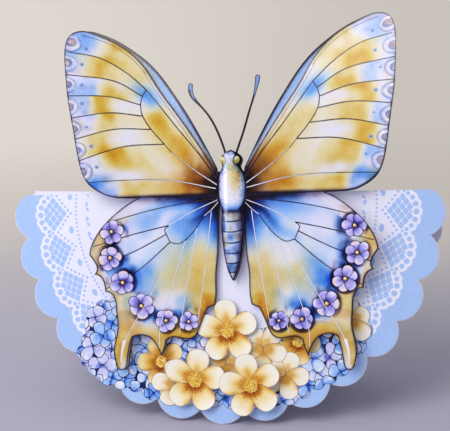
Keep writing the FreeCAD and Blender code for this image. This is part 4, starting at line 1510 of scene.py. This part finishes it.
# The stage.
STAGE_MIDDLE = (0.00074, -0.00073, 0.08899)     # what camera and lamps face, about the middle of the card
FLOOR_HALF = 40.0
MIRRORED_SKY = 0.12
LAMPS = (               # name, turn and height in degrees, distance, size, power setting, colour
    ("key_lamp", -29, 48, 0.85, 0.60, "key_power", "#FFF9F0"),
    ("window_lamp", -46, 20, 0.9, 0.28, "window_power", "#FBFCFF"),
)


def from_card(azimuth, elevation, distance):
    """The direction with the given turn and height, and the place that far from the middle of the card."""
    away = Vector((math.sin(azimuth) * math.cos(elevation), -math.cos(azimuth) * math.cos(elevation),
                   math.sin(elevation)))
    return away, Vector(STAGE_MIDDLE) + distance * away


def lay_floor(scene, stage):
    """A wide level floor, which isn't part of the card."""
    mesh = bpy.data.meshes.new("floor")
    half = FLOOR_HALF
    mesh.from_pydata([(-half, -half, 0), (half, -half, 0), (half, half, 0), (-half, half, 0)], [],
                     [(0, 1, 2, 3)])
    mesh.materials.append(tabletop("painted_board", stage))
    floor = bpy.data.objects.new("floor", mesh)
    scene.collection.objects.link(floor)


def light_room(scene, stage):
    """Even light from all round, and behind the card the same backdrop as the far floor."""
    world = bpy.data.worlds.new("studio")
    world.use_nodes = True
    tree = world.node_tree
    tree.nodes.clear()
    ray = add(tree, "LightPath").outputs
    # Shiny paper mirrors a dim room, so that dark inks stay dark.
    level = spread(tree, ray["Is Glossy Ray"], 0, 1, stage.sky, MIRRORED_SKY)
    light = add(tree, "Background", {"Color": (*linear("#FBFAFF"), 1), "Strength": level})
    direction = add(tree, "TexCoord").outputs["Generated"]
    backdrop = add(tree, "Background", {"Color": (*stage.floor_back, 1),
                                        "Strength": falloff(tree, direction)})
    mixed = add(tree, "MixShader", {"Fac": ray["Is Camera Ray"], 1: light.outputs["Background"],
                                    2: backdrop.outputs["Background"]})
    add(tree, "OutputWorld", {"Surface": mixed.outputs["Shader"]})
    scene.world = world


def hang_lamps(scene, stage):
    """Round soft lamps that face the middle of the card."""
    for name, azimuth, elevation, distance, size, power, colour in LAMPS:
        away, place = from_card(math.radians(azimuth), math.radians(elevation), distance)
        lamp = bpy.data.lights.new(name, "AREA")
        lamp.shape = "DISK"
        lamp.size = size
        lamp.energy = getattr(stage, power)
        lamp.color = linear(colour)
        holder = bpy.data.objects.new(name, lamp)
        holder.location = place
        holder.rotation_euler = away.to_track_quat("Z", "Y").to_euler()
        scene.collection.objects.link(holder)


def set_camera(scene, stage):
    """A camera that faces the middle of the card, rolled a little."""
    away, place = from_card(stage.azimuth, stage.elevation, stage.distance)
    right = Vector((0, 0, 1)).cross(away).normalized()
    top = away.cross(right)
    cosine, sine = math.cos(stage.roll), math.sin(stage.roll)
    camera = bpy.data.cameras.new("camera")
    camera.lens = stage.lens
    camera.sensor_width = 36.0
    camera.clip_start = 0.01
    holder = bpy.data.objects.new("camera", camera)
    axes = Matrix((cosine * right + sine * top, -sine * right + cosine * top, away)).transposed()
    holder.matrix_world = Matrix.Translation(place) @ axes.to_4x4()
    scene.collection.objects.link(holder)
    scene.camera = holder


class ROCKER_CARD_OT_stage(bpy.types.Operator):
    """Set out the floor, the lamps and the camera"""
    bl_idname = "rocker_card.stage"
    bl_label = "Stage"

    def execute(self, context):
        for step in (lay_floor, light_room, hang_lamps, set_camera):
            step(context.scene, context.scene.card_stage)
        context.scene.view_settings.view_transform = "Standard"
        return {"FINISHED"}


STEPS = (ROCKER_CARD_OT_card_blank, ROCKER_CARD_OT_lace_sheet, ROCKER_CARD_OT_flower_spray,
         ROCKER_CARD_OT_butterfly_layers, ROCKER_CARD_OT_butterfly_body, ROCKER_CARD_OT_cut_flowers,
         ROCKER_CARD_OT_foam_pads, ROCKER_CARD_OT_stage)


class ROCKER_CARD_PT_panel(bpy.types.Panel):
    """Steps and settings of the card"""
    bl_idname = "ROCKER_CARD_PT_panel"
    bl_label = "Rocker Card"
    bl_space_type = "VIEW_3D"
    bl_region_type = "UI"
    bl_category = "Rocker Card"

    def draw(self, context):
        for step in STEPS:
            self.layout.operator(step.bl_idname)
        for group in (context.scene.card_inks, context.scene.card_detail, context.scene.card_stage):
            box = self.layout.box()
            for name in group.__annotations__:
                box.prop(group, name)


CLASSES = (CardInks, CardDetail, CardStage, *STEPS, ROCKER_CARD_PT_panel)


def register():
    for each in CLASSES:
        bpy.utils.register_class(each)
    bpy.types.Scene.card_inks = PointerProperty(type=CardInks)
    bpy.types.Scene.card_detail = PointerProperty(type=CardDetail)
    bpy.types.Scene.card_stage = PointerProperty(type=CardStage)


def unregister():
    del bpy.types.Scene.card_stage
    del bpy.types.Scene.card_detail
    del bpy.types.Scene.card_inks
    for each in reversed(CLASSES):
        bpy.utils.unregister_class(each)


def main():
    register()
    for step in STEPS:
        group, name = step.bl_idname.split(".")
        getattr(getattr(bpy.ops, group), name)()


if __name__ == "__main__":
    main()
